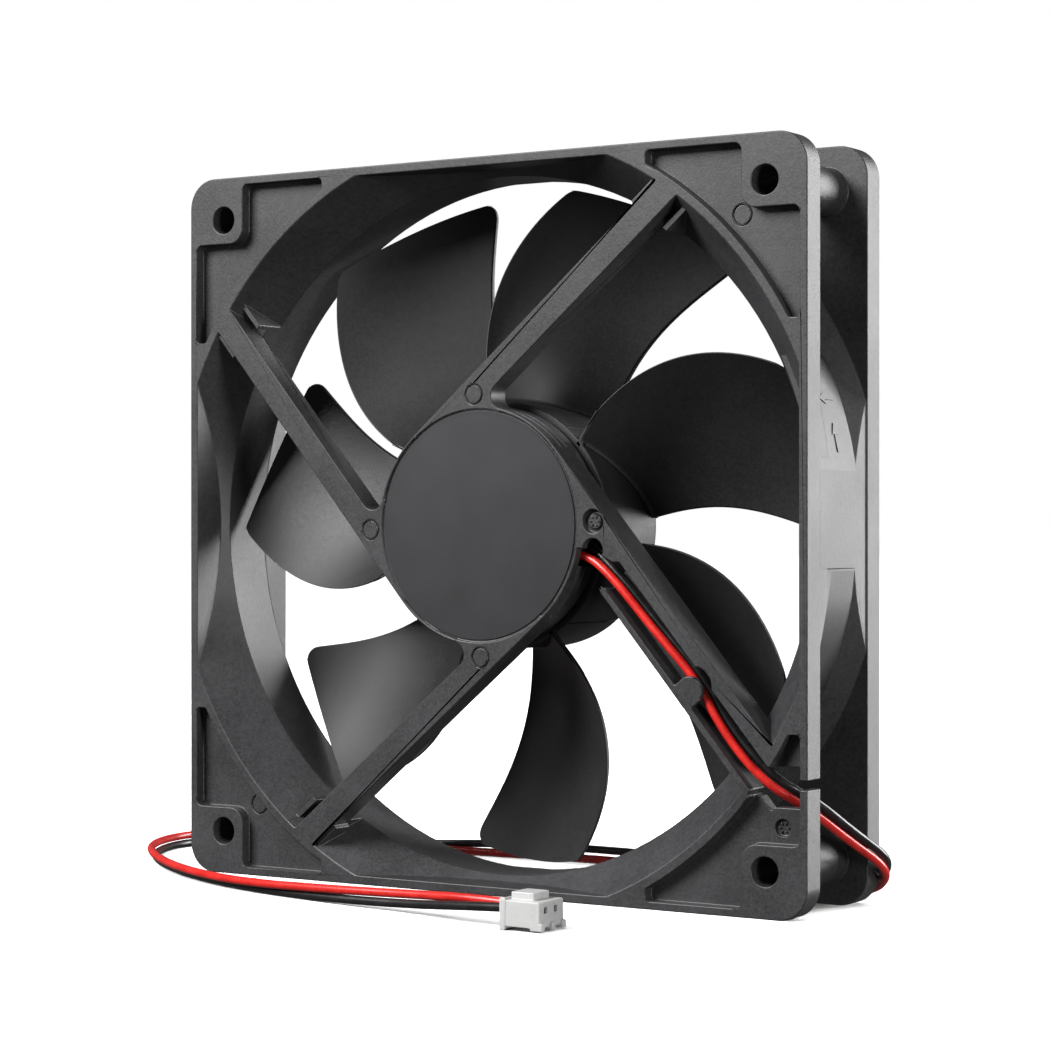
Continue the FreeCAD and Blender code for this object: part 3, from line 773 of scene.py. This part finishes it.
def ring_tree(
    name: str, source: bpy.types.Object, count: int, finish: Finish,
    centre_mm: Point = (0.0, 0.0, 0.0), radius_mm: float = 0.0,
) -> GeometryTree:
    """A tree that sets copies of one shape round the spin axis's direction.

    Args:
        name: The tree's name.
        source: The shape, drawn about the origin and pointing along +X.
        count: How many copies go round.
        finish: What they are made of.
        centre_mm: The ring's centre, about the fan's centre.
        radius_mm: How far the copies are moved out from it.

    Returns:
        The tree.
    """
    ring = GeometryTree(name)
    sheet = ring.sheet
    shape = ring.take("Shape", "NodeSocketObject", source)
    number = ring.take("Count", "NodeSocketInt", count)
    out = ring.take("Radius", "NodeSocketFloat", radius_mm * MM)
    height = ring.take("Centre height", "NodeSocketFloat", SPIN_HEIGHT + centre_mm[2] * MM)
    one = sheet.node("GeometryNodeObjectInfo", None, {"Object": shape})
    start = sheet.vector(centre_mm[0] * MM, centre_mm[1] * MM, height)
    line = sheet.node(
        "GeometryNodeMeshLine", {"mode": "OFFSET"},
        {"Count": number, "Start Location": start, "Offset": (0.0, 0.0, 0.0)},
    )
    turn = sheet.signal(sheet.node("GeometryNodeInputIndex")) * math.tau / number
    moved = sheet.vector(turn.cosine() * out, 0.0, -(turn.sine() * out))
    points = sheet.node("GeometryNodeSetPosition", None, {"Geometry": line.outputs[0], "Offset": moved})
    copies = sheet.node(
        "GeometryNodeInstanceOnPoints", None,
        {
            "Points": points.outputs[0], "Instance": one.outputs["Geometry"],
            "Rotation": sheet.vector(0.0, turn, 0.0),
        },
    )
    joined = sheet.node("GeometryNodeJoinGeometry")
    for part in (copies.outputs[0], ring.source.outputs["Body geometry"]):
        ring.tree.links.new(part, joined.inputs[0])
    ring.finish(sheet.signal(joined), finish.material())
    return ring


def small_mesh(name: str, build: Callable[[bmesh.types.BMesh], object]) -> bpy.types.Object:
    """A mesh made by one bmesh call, linked to the scene."""
    work = bmesh.new()
    build(work)
    mesh = bpy.data.meshes.new(name)
    work.to_mesh(mesh)
    work.free()
    return link(name, mesh)


def solid_outline(work: bmesh.types.BMesh, outline: Sequence[tuple[float, float]], depth_mm: float) -> None:
    """A flat shape of (y, z) points in mm, thickened along +X."""
    face = work.faces.new([work.verts.new((0.0, y * MM, z * MM)) for y, z in outline])
    made = bmesh.ops.extrude_face_region(work, geom=[face])
    raised = [item for item in made["geom"] if isinstance(item, bmesh.types.BMVert)]
    bmesh.ops.translate(work, verts=raised, vec=(depth_mm * MM, 0.0, 0.0))
    bmesh.ops.recalc_face_normals(work, faces=work.faces)


# ---------------------------------------------------------------- the frame
@dataclass
class FanFrame:
    """The moulded frame: duct, flanges, struts, motor base and the lead's channel."""

    edge_mm: float = 0.2

    def build(self) -> list[bpy.types.Object]:
        """Round the frame's edges and grain it."""
        frame = merged_copy("frame", "fan_frame")
        EdgeRounding(self.edge_mm).apply(frame)
        return [finish_piece(frame, FRAME_BLACK, Body.HOUSING, ["frame"])]


@dataclass
class MouldMarks:
    """Small raised marks on the frame: two rosettes in their seats and two arrows on the side band."""

    petals: int = 6
    petal_mm: float = 0.26
    rosette_mm: float = 0.72
    seats: list[Point] = field(default_factory=lambda: [(22.0, -12.04, 0.7), (54.6, -10.1, -45.9)])
    arrow_mm: tuple[float, float, float] = (4.6, 1.8, 0.5)
    arrow_depth_mm: float = 0.25
    band_r_mm: float = 60.2
    band_y_mm: float = -1.2
    band_lift_mm: float = 0.12
    band_x_mm: float = 59.72
    band_z_mm: tuple[float, float] = (-6.5, 26.0)
    band_span_mm: tuple[float, float] = (-8.2, 4.2)
    first_degrees: float = 13.0
    step_degrees: float = 6.0

    def _band(self, work: bmesh.types.BMesh) -> None:
        """Lay the skin of the side band: flat at its lower end, then round with the duct's waist."""
        low, high = self.band_z_mm
        skin, flat = self.band_r_mm + self.band_lift_mm, self.band_x_mm
        start = math.acos(flat / skin)
        turns = [start + (math.asin(high / skin) - start) * step / 16 for step in range(17)]
        outer = [(flat, low)] + [(skin * math.cos(turn), skin * math.sin(turn)) for turn in turns]
        inner = [(x - 1.4, z) for x, z in reversed(outer)]
        near, far = self.band_span_mm
        face = work.faces.new([
            work.verts.new((x * MM, near * MM, SPIN_HEIGHT + z * MM)) for x, z in outer + inner
        ])
        made = bmesh.ops.extrude_face_region(work, geom=[face])
        raised = [item for item in made["geom"] if isinstance(item, bmesh.types.BMVert)]
        bmesh.ops.translate(work, verts=raised, vec=(0.0, (far - near) * MM, 0.0))
        bmesh.ops.recalc_face_normals(work, faces=work.faces)

    def _arrow(self) -> bpy.types.Object:
        """A plain arrow that points along +Z."""
        length, head, stem = self.arrow_mm
        half, low, neck = length / 2, -length / 2, length / 2 - head
        outline = [
            (-stem / 2, low), (stem / 2, low), (stem / 2, neck), (head / 2, neck),
            (0.0, half), (-head / 2, neck), (-stem / 2, neck),
        ]
        return small_mesh("arrow", lambda work: solid_outline(work, outline, self.arrow_depth_mm))

    def _arrow_tree(self, arrow: bpy.types.Object) -> GeometryTree:
        """The tree that sets one arrow along the turn and one along the air's way."""
        tree = GeometryTree("side_arrows")
        sheet = tree.sheet
        shape = tree.take("Arrow", "NodeSocketObject", arrow)
        radius = tree.take("Band radius", "NodeSocketFloat", self.band_r_mm * MM)
        first = tree.take("First angle", "NodeSocketFloat", math.radians(self.first_degrees))
        step = tree.take("Angle step", "NodeSocketFloat", math.radians(self.step_degrees))
        line = sheet.node(
            "GeometryNodeMeshLine", {"mode": "OFFSET"},
            {
                "Count": 2, "Start Location": (0.0, self.band_y_mm * MM, SPIN_HEIGHT),
                "Offset": (0.0, 0.0, 0.0),
            },
        )
        index = sheet.signal(sheet.node("GeometryNodeInputIndex"))
        angle = first + index * step
        out = sheet.vector(angle.cosine() * radius, 0.0, angle.sine() * radius)
        points = sheet.node("GeometryNodeSetPosition", None, {"Geometry": line.outputs[0], "Offset": out})
        one = sheet.node("GeometryNodeObjectInfo", None, {"Object": shape})
        turn = sheet.vector(index * (math.pi / 2), -angle, 0.0)
        copies = sheet.node(
            "GeometryNodeInstanceOnPoints", None,
            {"Points": points.outputs[0], "Instance": one.outputs["Geometry"], "Rotation": turn},
        )
        joined = sheet.node("GeometryNodeJoinGeometry")
        for part in (copies.outputs[0], tree.source.outputs["Body geometry"]):
            tree.tree.links.new(part, joined.inputs[0])
        tree.finish(sheet.signal(joined), FRAME_BLACK.material())
        return tree

    def build(self) -> list[bpy.types.Object]:
        """Set the rosettes and the arrows into one mesh."""
        marks = small_mesh("mould_marks", self._band)
        petal = small_mesh("petal", lambda work: bmesh.ops.create_icosphere(
            work, subdivisions=1, radius=self.petal_mm * MM, matrix=Matrix.Diagonal((1.25, 0.8, 0.6, 1.0)),
        ))
        for number, seat in enumerate(self.seats):
            name = f"rosette_{number + 1}"
            ring_tree(name, petal, self.petals, FRAME_BLACK, seat, self.rosette_mm).run(marks)
        arrow = self._arrow()
        self._arrow_tree(arrow).run(marks)
        for helper in (petal, arrow):
            discard(helper)
        return [finish_piece(marks, FRAME_BLACK, Body.HOUSING)]


@dataclass
class StatorWindings:
    """Enamelled wire wound round each of the four poles, turn beside turn in three layers."""

    poles: int = 4
    turns: int = 9
    wire_mm: float = 0.46
    start_mm: float = 7.5
    pitch_mm: float = 0.49
    inner_mm: tuple[float, float] = (5.3, 8.3)
    layers: int = 3
    middle_y_mm: float = 0.8

    def _tree(self, pole: int) -> GeometryTree:
        """The tree that winds one pole."""
        tree = GeometryTree(f"winding_{pole + 1}")
        sheet = tree.sheet
        turns = tree.take("Turns", "NodeSocketInt", self.turns)
        radius = tree.take("Wire radius", "NodeSocketFloat", self.wire_mm * MM / 2)
        pitch = tree.take("Pitch", "NodeSocketFloat", self.pitch_mm * MM)
        section = sheet.node("GeometryNodeCurvePrimitiveCircle", None, {"Resolution": 7, "Radius": radius})
        line = sheet.node("GeometryNodeMeshLine", {"mode": "OFFSET"}, {
            "Count": turns, "Start Location": (self.start_mm * MM, 0.0, 0.0),
            "Offset": sheet.vector(pitch, 0.0, 0.0),
        })
        joined = sheet.node("GeometryNodeJoinGeometry")
        for layer in range(self.layers):
            width, height = (side * MM + layer * 2 * self.wire_mm * MM for side in self.inner_mm)
            loop = sheet.node(
                "GeometryNodeCurvePrimitiveQuadrilateral", None, {"Width": width, "Height": height}
            )
            soft = sheet.node(
                "GeometryNodeFilletCurve", {"mode": "POLY"},
                {"Curve": loop.outputs[0], "Count": 3, "Radius": (0.5 + 0.4 * layer) * MM},
            )
            wire = sheet.node(
                "GeometryNodeCurveToMesh", None,
                {"Curve": soft.outputs[0], "Profile Curve": section.outputs[0]},
            )
            rows = sheet.node("GeometryNodeInstanceOnPoints", None, {
                "Points": line.outputs[0], "Instance": wire.outputs[0], "Rotation": (0.0, math.pi / 2, 0.0),
            })
            tree.tree.links.new(rows.outputs[0], joined.inputs[0])
        angle = math.tau * (pole + 0.5) / self.poles
        placed = sheet.node("GeometryNodeTransform", None, {
            "Geometry": joined.outputs[0], "Translation": (0.0, self.middle_y_mm * MM, SPIN_HEIGHT),
            "Rotation": (0.0, -angle, 0.0),
        })
        tree.finish(sheet.signal(placed), COPPER.material())
        return tree

    def build(self) -> list[bpy.types.Object]:
        """Wind every pole."""
        windings = []
        for pole in range(self.poles):
            name = f"winding_{pole + 1}"
            winding = self._tree(pole).run(link(name, bpy.data.meshes.new(name)))
            for polygon in winding.data.polygons:
                polygon.use_smooth = True
            windings.append(finish_piece(winding, COPPER, Body.HOUSING, [f"coil_{pole + 1}"]))
        return windings


@dataclass
class HubLabel:
    """The plain round film on the motor base."""

    radius_mm: float = 18.5
    edge_mm: float = 0.06

    def build(self) -> list[bpy.types.Object]:
        """A thin disc with a soft edge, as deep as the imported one."""
        low, high = (corner.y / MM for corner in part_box("label"))
        corners = [
            (0.0, low, 0.0), (self.radius_mm, low, self.edge_mm),
            (self.radius_mm, high, self.edge_mm), (0.0, high, 0.0),
        ]
        label = turned_mesh("hub_label", rounded_profile(corners, 3), 128)
        for polygon in label.data.polygons:
            polygon.use_smooth = True
        label.data.set_sharp_from_angle(angle=math.radians(40))
        return [finish_piece(label, LABEL_GREY, Body.HOUSING, ["label"])]


# ---------------------------------------------------------------- the impeller
@dataclass
class Impeller:
    """Hub cap and seven blades, moulded in one."""

    blade_count: int = 7
    hub_r_mm: float = 20.3
    tip_r_mm: float = 55.9
    rim_y_mm: float = -5.2
    root_t_mm: float = 1.7
    tip_t_mm: float = 1.2
    camber_mm: float = 2.0
    root_fillet_mm: float = 0.8
    lead_corner_mm: float = 3.0
    trail_corner_mm: float = 0.9
    spans: int = 26
    chords: int = 30
    seam_mm: float = 0.18
    seam_sunk_mm: float = 0.08

    @staticmethod
    def _series(terms: Sequence[float], value: float) -> float:
        """Sum of terms times rising powers of value."""
        return sum(term * value**power for power, term in enumerate(terms))

    def _surface(self, radius: float, chord: float, side: float) -> Vector:
        """A point on the blade.

        Args:
            radius: Distance from the axis, in mm.
            chord: 0 at the trailing edge, 1 at the leading edge.
            side: -1 on the strut side's face, 1 on the intake side's.

        Returns:
            The point about the spin axis, in metres.
        """
        span = (radius - 38.0) / 18.0
        trail_angle = self._series((2.532, -0.176, -0.125, 0.024), span)
        lead_angle = self._series((1.863, -0.102, -0.061, 0.049), span)
        trail_y = self._series((-3.11, 1.97, -0.88), span)
        lead_y = self._series((9.24, -0.29, 0.28), span)
        angle = trail_angle + (lead_angle - trail_angle) * chord
        bulge = 4 * chord * (1 - chord)
        share = (radius - self.hub_r_mm) / (self.tip_r_mm - self.hub_r_mm)
        thick = (self.root_t_mm + (self.tip_t_mm - self.root_t_mm) * share) * (0.72 + 0.28 * bulge)
        off_hub = min(max(radius - self.hub_r_mm, 0.0) / self.root_fillet_mm, 1.0)
        thick += 2 * self.root_fillet_mm * (1 - math.sqrt(1 - (1 - off_hub) ** 2))
        y = trail_y + (lead_y - trail_y) * chord + self.camber_mm * bulge + side * thick / 2
        return Vector((radius * math.cos(angle), y, radius * math.sin(angle))) * MM

    def _chord_ends(self, radius: float) -> tuple[float, float]:
        """Where the blade begins and ends along the chord at a radius, with its tip corners rounded."""
        length = (self._surface(radius, 1, 0) - self._surface(radius, 0, 0)).length / MM
        ends = []
        for corner in (self.trail_corner_mm, self.lead_corner_mm):
            over = max(radius - (self.tip_r_mm - corner), 0.0)
            ends.append((corner - math.sqrt(max(corner**2 - over**2, 0.0))) / length)
        return ends[0], 1 - ends[1]

    def _radii(self) -> list[float]:
        """The blade's stations, closer together at the root fillet and round the tip corners."""
        root = self.hub_r_mm - 1.0
        near = [root, self.hub_r_mm]
        near += [self.hub_r_mm + self.root_fillet_mm * share for share in (0.1, 0.3, 0.6, 1.0)]
        start = near[-1]
        end = self.tip_r_mm - self.lead_corner_mm
        middle = [start + (end - start) * step / self.spans for step in range(1, self.spans + 1)]
        tip = [end + self.lead_corner_mm * math.sin(math.pi / 2 * step / 8) for step in range(1, 9)]
        return near + middle + tip

    def _blade(self) -> bpy.types.Object:
        """One closed blade about the origin, its edges rounded and its root trimmed to the hub's rim."""
        work = bmesh.new()
        grids = []
        for side in (-1, 1):
            rows = []
            for radius in self._radii():
                low, high = self._chord_ends(radius)
                steps = [low + (high - low) * step / self.chords for step in range(self.chords + 1)]
                rows.append([work.verts.new(self._surface(radius, chord, side)) for chord in steps])
            grids.append(rows)
        for rows, flip in zip(grids, (False, True)):
            for low_row, high_row in zip(rows, rows[1:]):
                for step in range(self.chords):
                    corners = [low_row[step], low_row[step + 1], high_row[step + 1], high_row[step]]
                    work.faces.new(corners[::-1] if flip else corners)
        rims = [[rows[0] for rows in grids], [rows[-1] for rows in grids]]
        rims += [[[row[end] for row in rows] for rows in grids] for end in (0, -1)]
        for first, second in rims:
            for step in range(len(first) - 1):
                work.faces.new([first[step], first[step + 1], second[step + 1], second[step]])
        bmesh.ops.recalc_face_normals(work, faces=work.faces)
        cut = bmesh.ops.bisect_plane(
            work, geom=[*work.verts, *work.edges, *work.faces], dist=1e-7,
            plane_co=(0, self.rim_y_mm * MM, 0), plane_no=(0, -1, 0), clear_outer=True,
        )
        open_edges = [item for item in cut["geom_cut"] if isinstance(item, bmesh.types.BMEdge)]
        bmesh.ops.holes_fill(work, edges=open_edges)
        mesh = bpy.data.meshes.new("blade")
        work.to_mesh(mesh)
        work.free()
        blade = link("blade", mesh)
        return EdgeRounding(0.3, 2, 42.0).apply(blade)

    def _hub(self) -> bpy.types.Object:
        """The hub cap: a thin cup with a ring groove and a shallow centre recess on its face."""
        outer, wall = self.hub_r_mm, 1.6
        inner, face = outer - wall, 11.4
        corners = [
            (0.0, face - 0.3, 0.0), (3.0, face - 0.3, 0.1), (3.0, face, 0.12), (15.2, face, 0.15),
            (15.2, face - 0.5, 0.1), (16.4, face - 0.5, 0.1), (16.4, face, 0.15), (outer, face, wall),
            (outer, self.rim_y_mm, 0.25), (inner, self.rim_y_mm, 0.2), (inner, face - wall, 0.4),
            (0.0, face - wall, 0.0),
        ]
        hub = turned_mesh("impeller", rounded_profile(corners, 5), 144)
        for polygon in hub.data.polygons:
            polygon.use_smooth = True
        return hub

    def _seam(self) -> bpy.types.Object:
        """One fine raised line along the hub's side, left by the mould."""
        low, high, half = self.rim_y_mm + 0.3, 9.6, self.seam_mm / 2
        outline = [(low, -half), (high, -half), (high, half), (low, half)]
        return small_mesh("seam", lambda work: solid_outline(work, outline, self.seam_mm))

    def build(self) -> list[bpy.types.Object]:
        """Make a blade and a seam, set the rings of them on the hub, and dress the moulding."""
        blade, seam = self._blade(), self._seam()
        sunk_r_mm = self.hub_r_mm - self.seam_sunk_mm
        seams = ring_tree("hub_seams", seam, self.blade_count, ROTOR_BLACK, radius_mm=sunk_r_mm)
        impeller = seams.run(self._hub())
        impeller = ring_tree("blade_ring", blade, self.blade_count, ROTOR_BLACK).run(impeller)
        for helper in (blade, seam):
            discard(helper)
        return [finish_piece(impeller, ROTOR_BLACK, Body.ROTOR, ["impeller"])]


# ---------------------------------------------------------------- the lead
@dataclass
class FanLead:
    """Two loose conductors and the plug housing that they end in.

    The routes are about the fan's centre, in mm, from the solder joint to the plug.
    """

    diameter_mm: float = 1.4
    red_mm: float = 374.4
    black_mm: float = 374.4
    red_route: list[Point] = field(default_factory=lambda: [
        (11.0, -8.5, -5.0), (17.2, -9.7, -3.9), (23.3, -10.9, -6.6), (32.4, -10.95, -16.4),
        (39.9, -10.8, -23.9), (44.4, -10.8, -31.6), (51.1, -10.5, -39.0), (56.9, -6.0, -43.4),
        (59.9, 2.2, -49.0), (62.75, 10.7, -54.2), (56.4, 16.6, -58.7), (44.0, 22.5, -59.05),
        (28.0, 28.4, -59.05), (10.0, 32.6, -59.05), (-9.0, 34.4, -59.05), (-27.0, 32.6, -59.05),
        (-44.0, 31.0, -58.95), (-60.0, 30.4, -58.3), (-75.5, 27.3, -57.6), (-84.0, 15.6, -57.55),
        (-80.0, 0.2, -57.65), (-68.6, -11.9, -57.95), (-52.2, -23.2, -58.1), (-34.2, -30.6, -58.05),
        (-14.5, -33.9, -57.45), (4.0, -35.4, -56.85), (17.0, -38.3, -56.1), (26.4, -38.4, -56.55),
    ])
    black_route: list[Point] = field(default_factory=lambda: [
        (11.2, -8.5, -1.2), (17.9, -8.6, -2.2), (23.6, -9.4, -6.3), (32.8, -9.45, -16.0),
        (40.3, -9.4, -23.7), (45.0, -9.5, -31.2), (52.0, -9.25, -38.2), (57.6, -4.8, -42.3),
        (60.2, 2.6, -47.5), (62.9, 11.0, -52.6), (56.5, 17.1, -57.1), (44.0, 23.1, -57.4),
        (28.0, 28.9, -57.4), (10.0, 33.0, -57.35), (-9.0, 34.7, -57.35), (-27.0, 33.3, -57.45),
        (-44.0, 32.8, -58.55), (-60.0, 31.7, -59.05), (-76.2, 28.2, -59.05), (-84.2, 15.4, -59.05),
        (-79.4, 0.7, -59.05), (-68.1, -11.0, -59.05), (-51.5, -22.0, -59.05), (-33.8, -29.3, -59.05),
        (-14.4, -33.4, -58.95), (4.0, -36.0, -58.3), (17.0, -39.9, -57.1), (26.4, -41.3, -56.55),
    ])

    def _wire(
        self,
        name: str,
        route: Sequence[Point],
        finish: Finish,
    ) -> bpy.types.Object:
        """One conductor on a smooth line.

        Args:
            name: The conductor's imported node.
            route: The line's control points.
            finish: Its insulation.

        Returns:
            The piece.
        """
        curve = bpy.data.curves.new(name + "_line", "CURVE")
        curve.dimensions = "3D"
        spline = curve.splines.new("NURBS")
        spline.points.add(len(route) - 1)
        points = [(x * MM, y * MM, SPIN_HEIGHT + z * MM) for x, y, z in route]
        for knot, point in zip(spline.points, points):
            knot.co = (*point, 1.0)
        spline.order_u = 3
        spline.use_endpoint_u = True
        spline.resolution_u = 10
        spline.use_smooth = True
        curve.bevel_depth = self.diameter_mm * MM / 2
        curve.bevel_resolution = 5
        curve.use_fill_caps = True
        wire = finish_piece(link(name + "_cord", curve), finish, Body.HOUSING, [name])
        return wire

    def build(self) -> list[bpy.types.Object]:
        """The plug housing first, with its edges rounded, then both conductors."""
        plug = EdgeRounding(0.16, 2, 30.0).apply(merged_copy("connector_housing", "plug_housing"))
        finish_piece(plug, PLUG_WHITE, Body.HOUSING, ["connector_housing"])
        red = self._wire("wire_red", self.red_route, LEAD_RED)
        black = self._wire("wire_black", self.black_route, LEAD_BLACK)
        return [plug, red, black]


# ---------------------------------------------------------------- parts kept as packed
@dataclass
class DressedNodes:
    """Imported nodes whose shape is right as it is, each with its finish."""

    finishes: Mapping[str, Finish] = field(default_factory=lambda: {
        "bearing_tube": BRASS, "thrust_pad": NATURAL_NYLON, "sleeve_bearing": BRONZE,
        "oil_seal": NATURAL_NYLON, "stator_core": LAMINATION, "bobbin_upper": NATURAL_NYLON,
        "bobbin_lower": NATURAL_NYLON, "terminal_pin_1": TIN, "terminal_pin_2": TIN, "terminal_pin_3": TIN,
        "circuit_board": BOARD, "hall_sensor": EPOXY, "driver_chip": EPOXY, "capacitor": CAN_METAL,
        "resistor_1": EPOXY, "resistor_2": EPOXY, "diode": EPOXY, "solder_red": SOLDER,
        "solder_black": SOLDER, "contact_red": TIN, "contact_black": TIN, "rotor_yoke": YOKE_STEEL,
        "magnet_ring": FERRITE, "shaft": SHAFT_STEEL, "shaft_bush": BRASS,
        "retaining_clip": NATURAL_NYLON, "slide_washer": NATURAL_NYLON,
    })

    def build(self) -> list[bpy.types.Object]:
        """Give each node its material."""
        dressed = []
        for name, finish in self.finishes.items():
            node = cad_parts[name]
            node.data.materials.clear()
            node.data.materials.append(finish.material())
            dressed.append(node)
        return dressed


# ---------------------------------------------------------------- studio
@dataclass(frozen=True)
class Softbox:
    """One rectangular studio light."""

    name: str
    place: Point
    aim: Point
    size: tuple[float, float]
    power: float
    colour: Colour = (1.0, 1.0, 1.0)

    def build(self) -> bpy.types.Object:
        """Hang the light and turn it to what it lights."""
        data = bpy.data.lights.new(self.name, "AREA")
        data.shape = "RECTANGLE"
        data.size, data.size_y = self.size
        data.energy = self.power
        data.color = self.colour
        lamp = link(self.name, data)
        lamp.location = self.place
        lamp.rotation_euler = (Vector(self.aim) - Vector(self.place)).to_track_quat("-Z", "Y").to_euler()
        return lamp


@dataclass
class Studio:
    """Pale floor, soft light and the camera."""

    camera_place: Point = (0.250375, -0.385889, 0.059855)
    camera_turn_degrees: float = 32.85
    lens_mm: float = 95.24
    sensor_mm: float = 36.0
    floor_m: float = 9.0
    fill_strength: float = 0.09
    floor_light_energy: float = 3.5
    floor_light_degrees: float = 70.0
    lights: list[Softbox] = field(default_factory=lambda: [
        Softbox("key", (-0.42, -0.6, 0.6), (0.0, 0.0, 0.08), (0.5, 0.5), 15.5),
        Softbox("side", (0.56, 0.72, 0.25), (0.06, 0.0, 0.06), (0.4, 0.8), 12.5),
        Softbox("edge", (0.95, -0.36, 0.06), (0.03, 0.0, 0.06), (0.2, 0.5), 7.5),
    ])

    def _camera(self) -> None:
        """The camera, level with the middle of the fan."""
        data = bpy.data.cameras.new("camera")
        data.lens = self.lens_mm
        data.sensor_width = self.sensor_mm
        data.clip_start, data.clip_end = 0.01, 50.0
        camera = link("camera", data)
        camera.location = self.camera_place
        camera.rotation_euler = (math.radians(90), 0.0, math.radians(self.camera_turn_degrees))
        bpy.context.scene.camera = camera

    def _floor(self) -> bpy.types.Object:
        """A wide pale floor."""
        work = bmesh.new()
        bmesh.ops.create_grid(work, x_segments=1, y_segments=1, size=self.floor_m / 2)
        mesh = bpy.data.meshes.new("floor")
        work.to_mesh(mesh)
        work.free()
        floor = link("floor", mesh)
        paint = bpy.data.materials.new("pale_floor")
        paint.use_nodes = True
        sheet = NodeSheet(paint.node_tree)
        shader = sheet.node("ShaderNodeBsdfPrincipled", None, {
            "Base Color": (0.95, 0.95, 0.95, 1.0), "Roughness": 0.9, "Specular IOR Level": 0.0,
        })
        sheet.node("ShaderNodeOutputMaterial", None, {"Surface": shader.outputs[0]})
        mesh.materials.append(paint)
        return floor

    def _world(self) -> None:
        """A white backdrop that lights the fan only a little."""
        world = bpy.data.worlds.new("studio")
        world.use_nodes = True
        sheet = NodeSheet(world.node_tree)
        seen = sheet.signal(sheet.node("ShaderNodeLightPath"), "Is Camera Ray")
        strength = self.fill_strength + seen * (1.0 - self.fill_strength)
        white = (1.0, 1.0, 1.0, 1.0)
        level = sheet.node("ShaderNodeBackground", None, {"Color": white, "Strength": strength})
        sheet.node("ShaderNodeOutputWorld", None, {"Surface": level.outputs[0]})
        bpy.context.scene.world = world

    def build(self) -> None:
        """Set the whole studio up."""
        self._camera()
        floor = self._floor()
        floor.visible_diffuse = False
        floor.visible_glossy = False
        self._world()
        for light in self.lights:
            light.build()
        wash = bpy.data.collections.new("floor_only")
        wash.objects.link(floor)
        sky = bpy.data.lights.new("floor_light", "SUN")
        sky.energy = self.floor_light_energy
        sky.angle = math.radians(self.floor_light_degrees)
        over = link("floor_light", sky)
        over.light_linking.receiver_collection = wash
        bpy.context.scene.view_settings.view_transform = "Standard"


def main() -> None:
    """Build every sub-assembly in order, and report its pieces."""
    logging.basicConfig(level=logging.INFO, format="%(message)s")
    Studio().build()
    assemblies = (
        FanLead(), FanFrame(), MouldMarks(), HubLabel(), Impeller(), StatorWindings(), DressedNodes(),
    )
    for assembly in assemblies:
        for piece in assembly.build():
            faces = len(piece.data.polygons) if piece.type == "MESH" else 0
            LOG.info("%s: %s, %d faces", type(assembly).__name__, piece.name, faces)


if __name__ == "__main__":
    main()
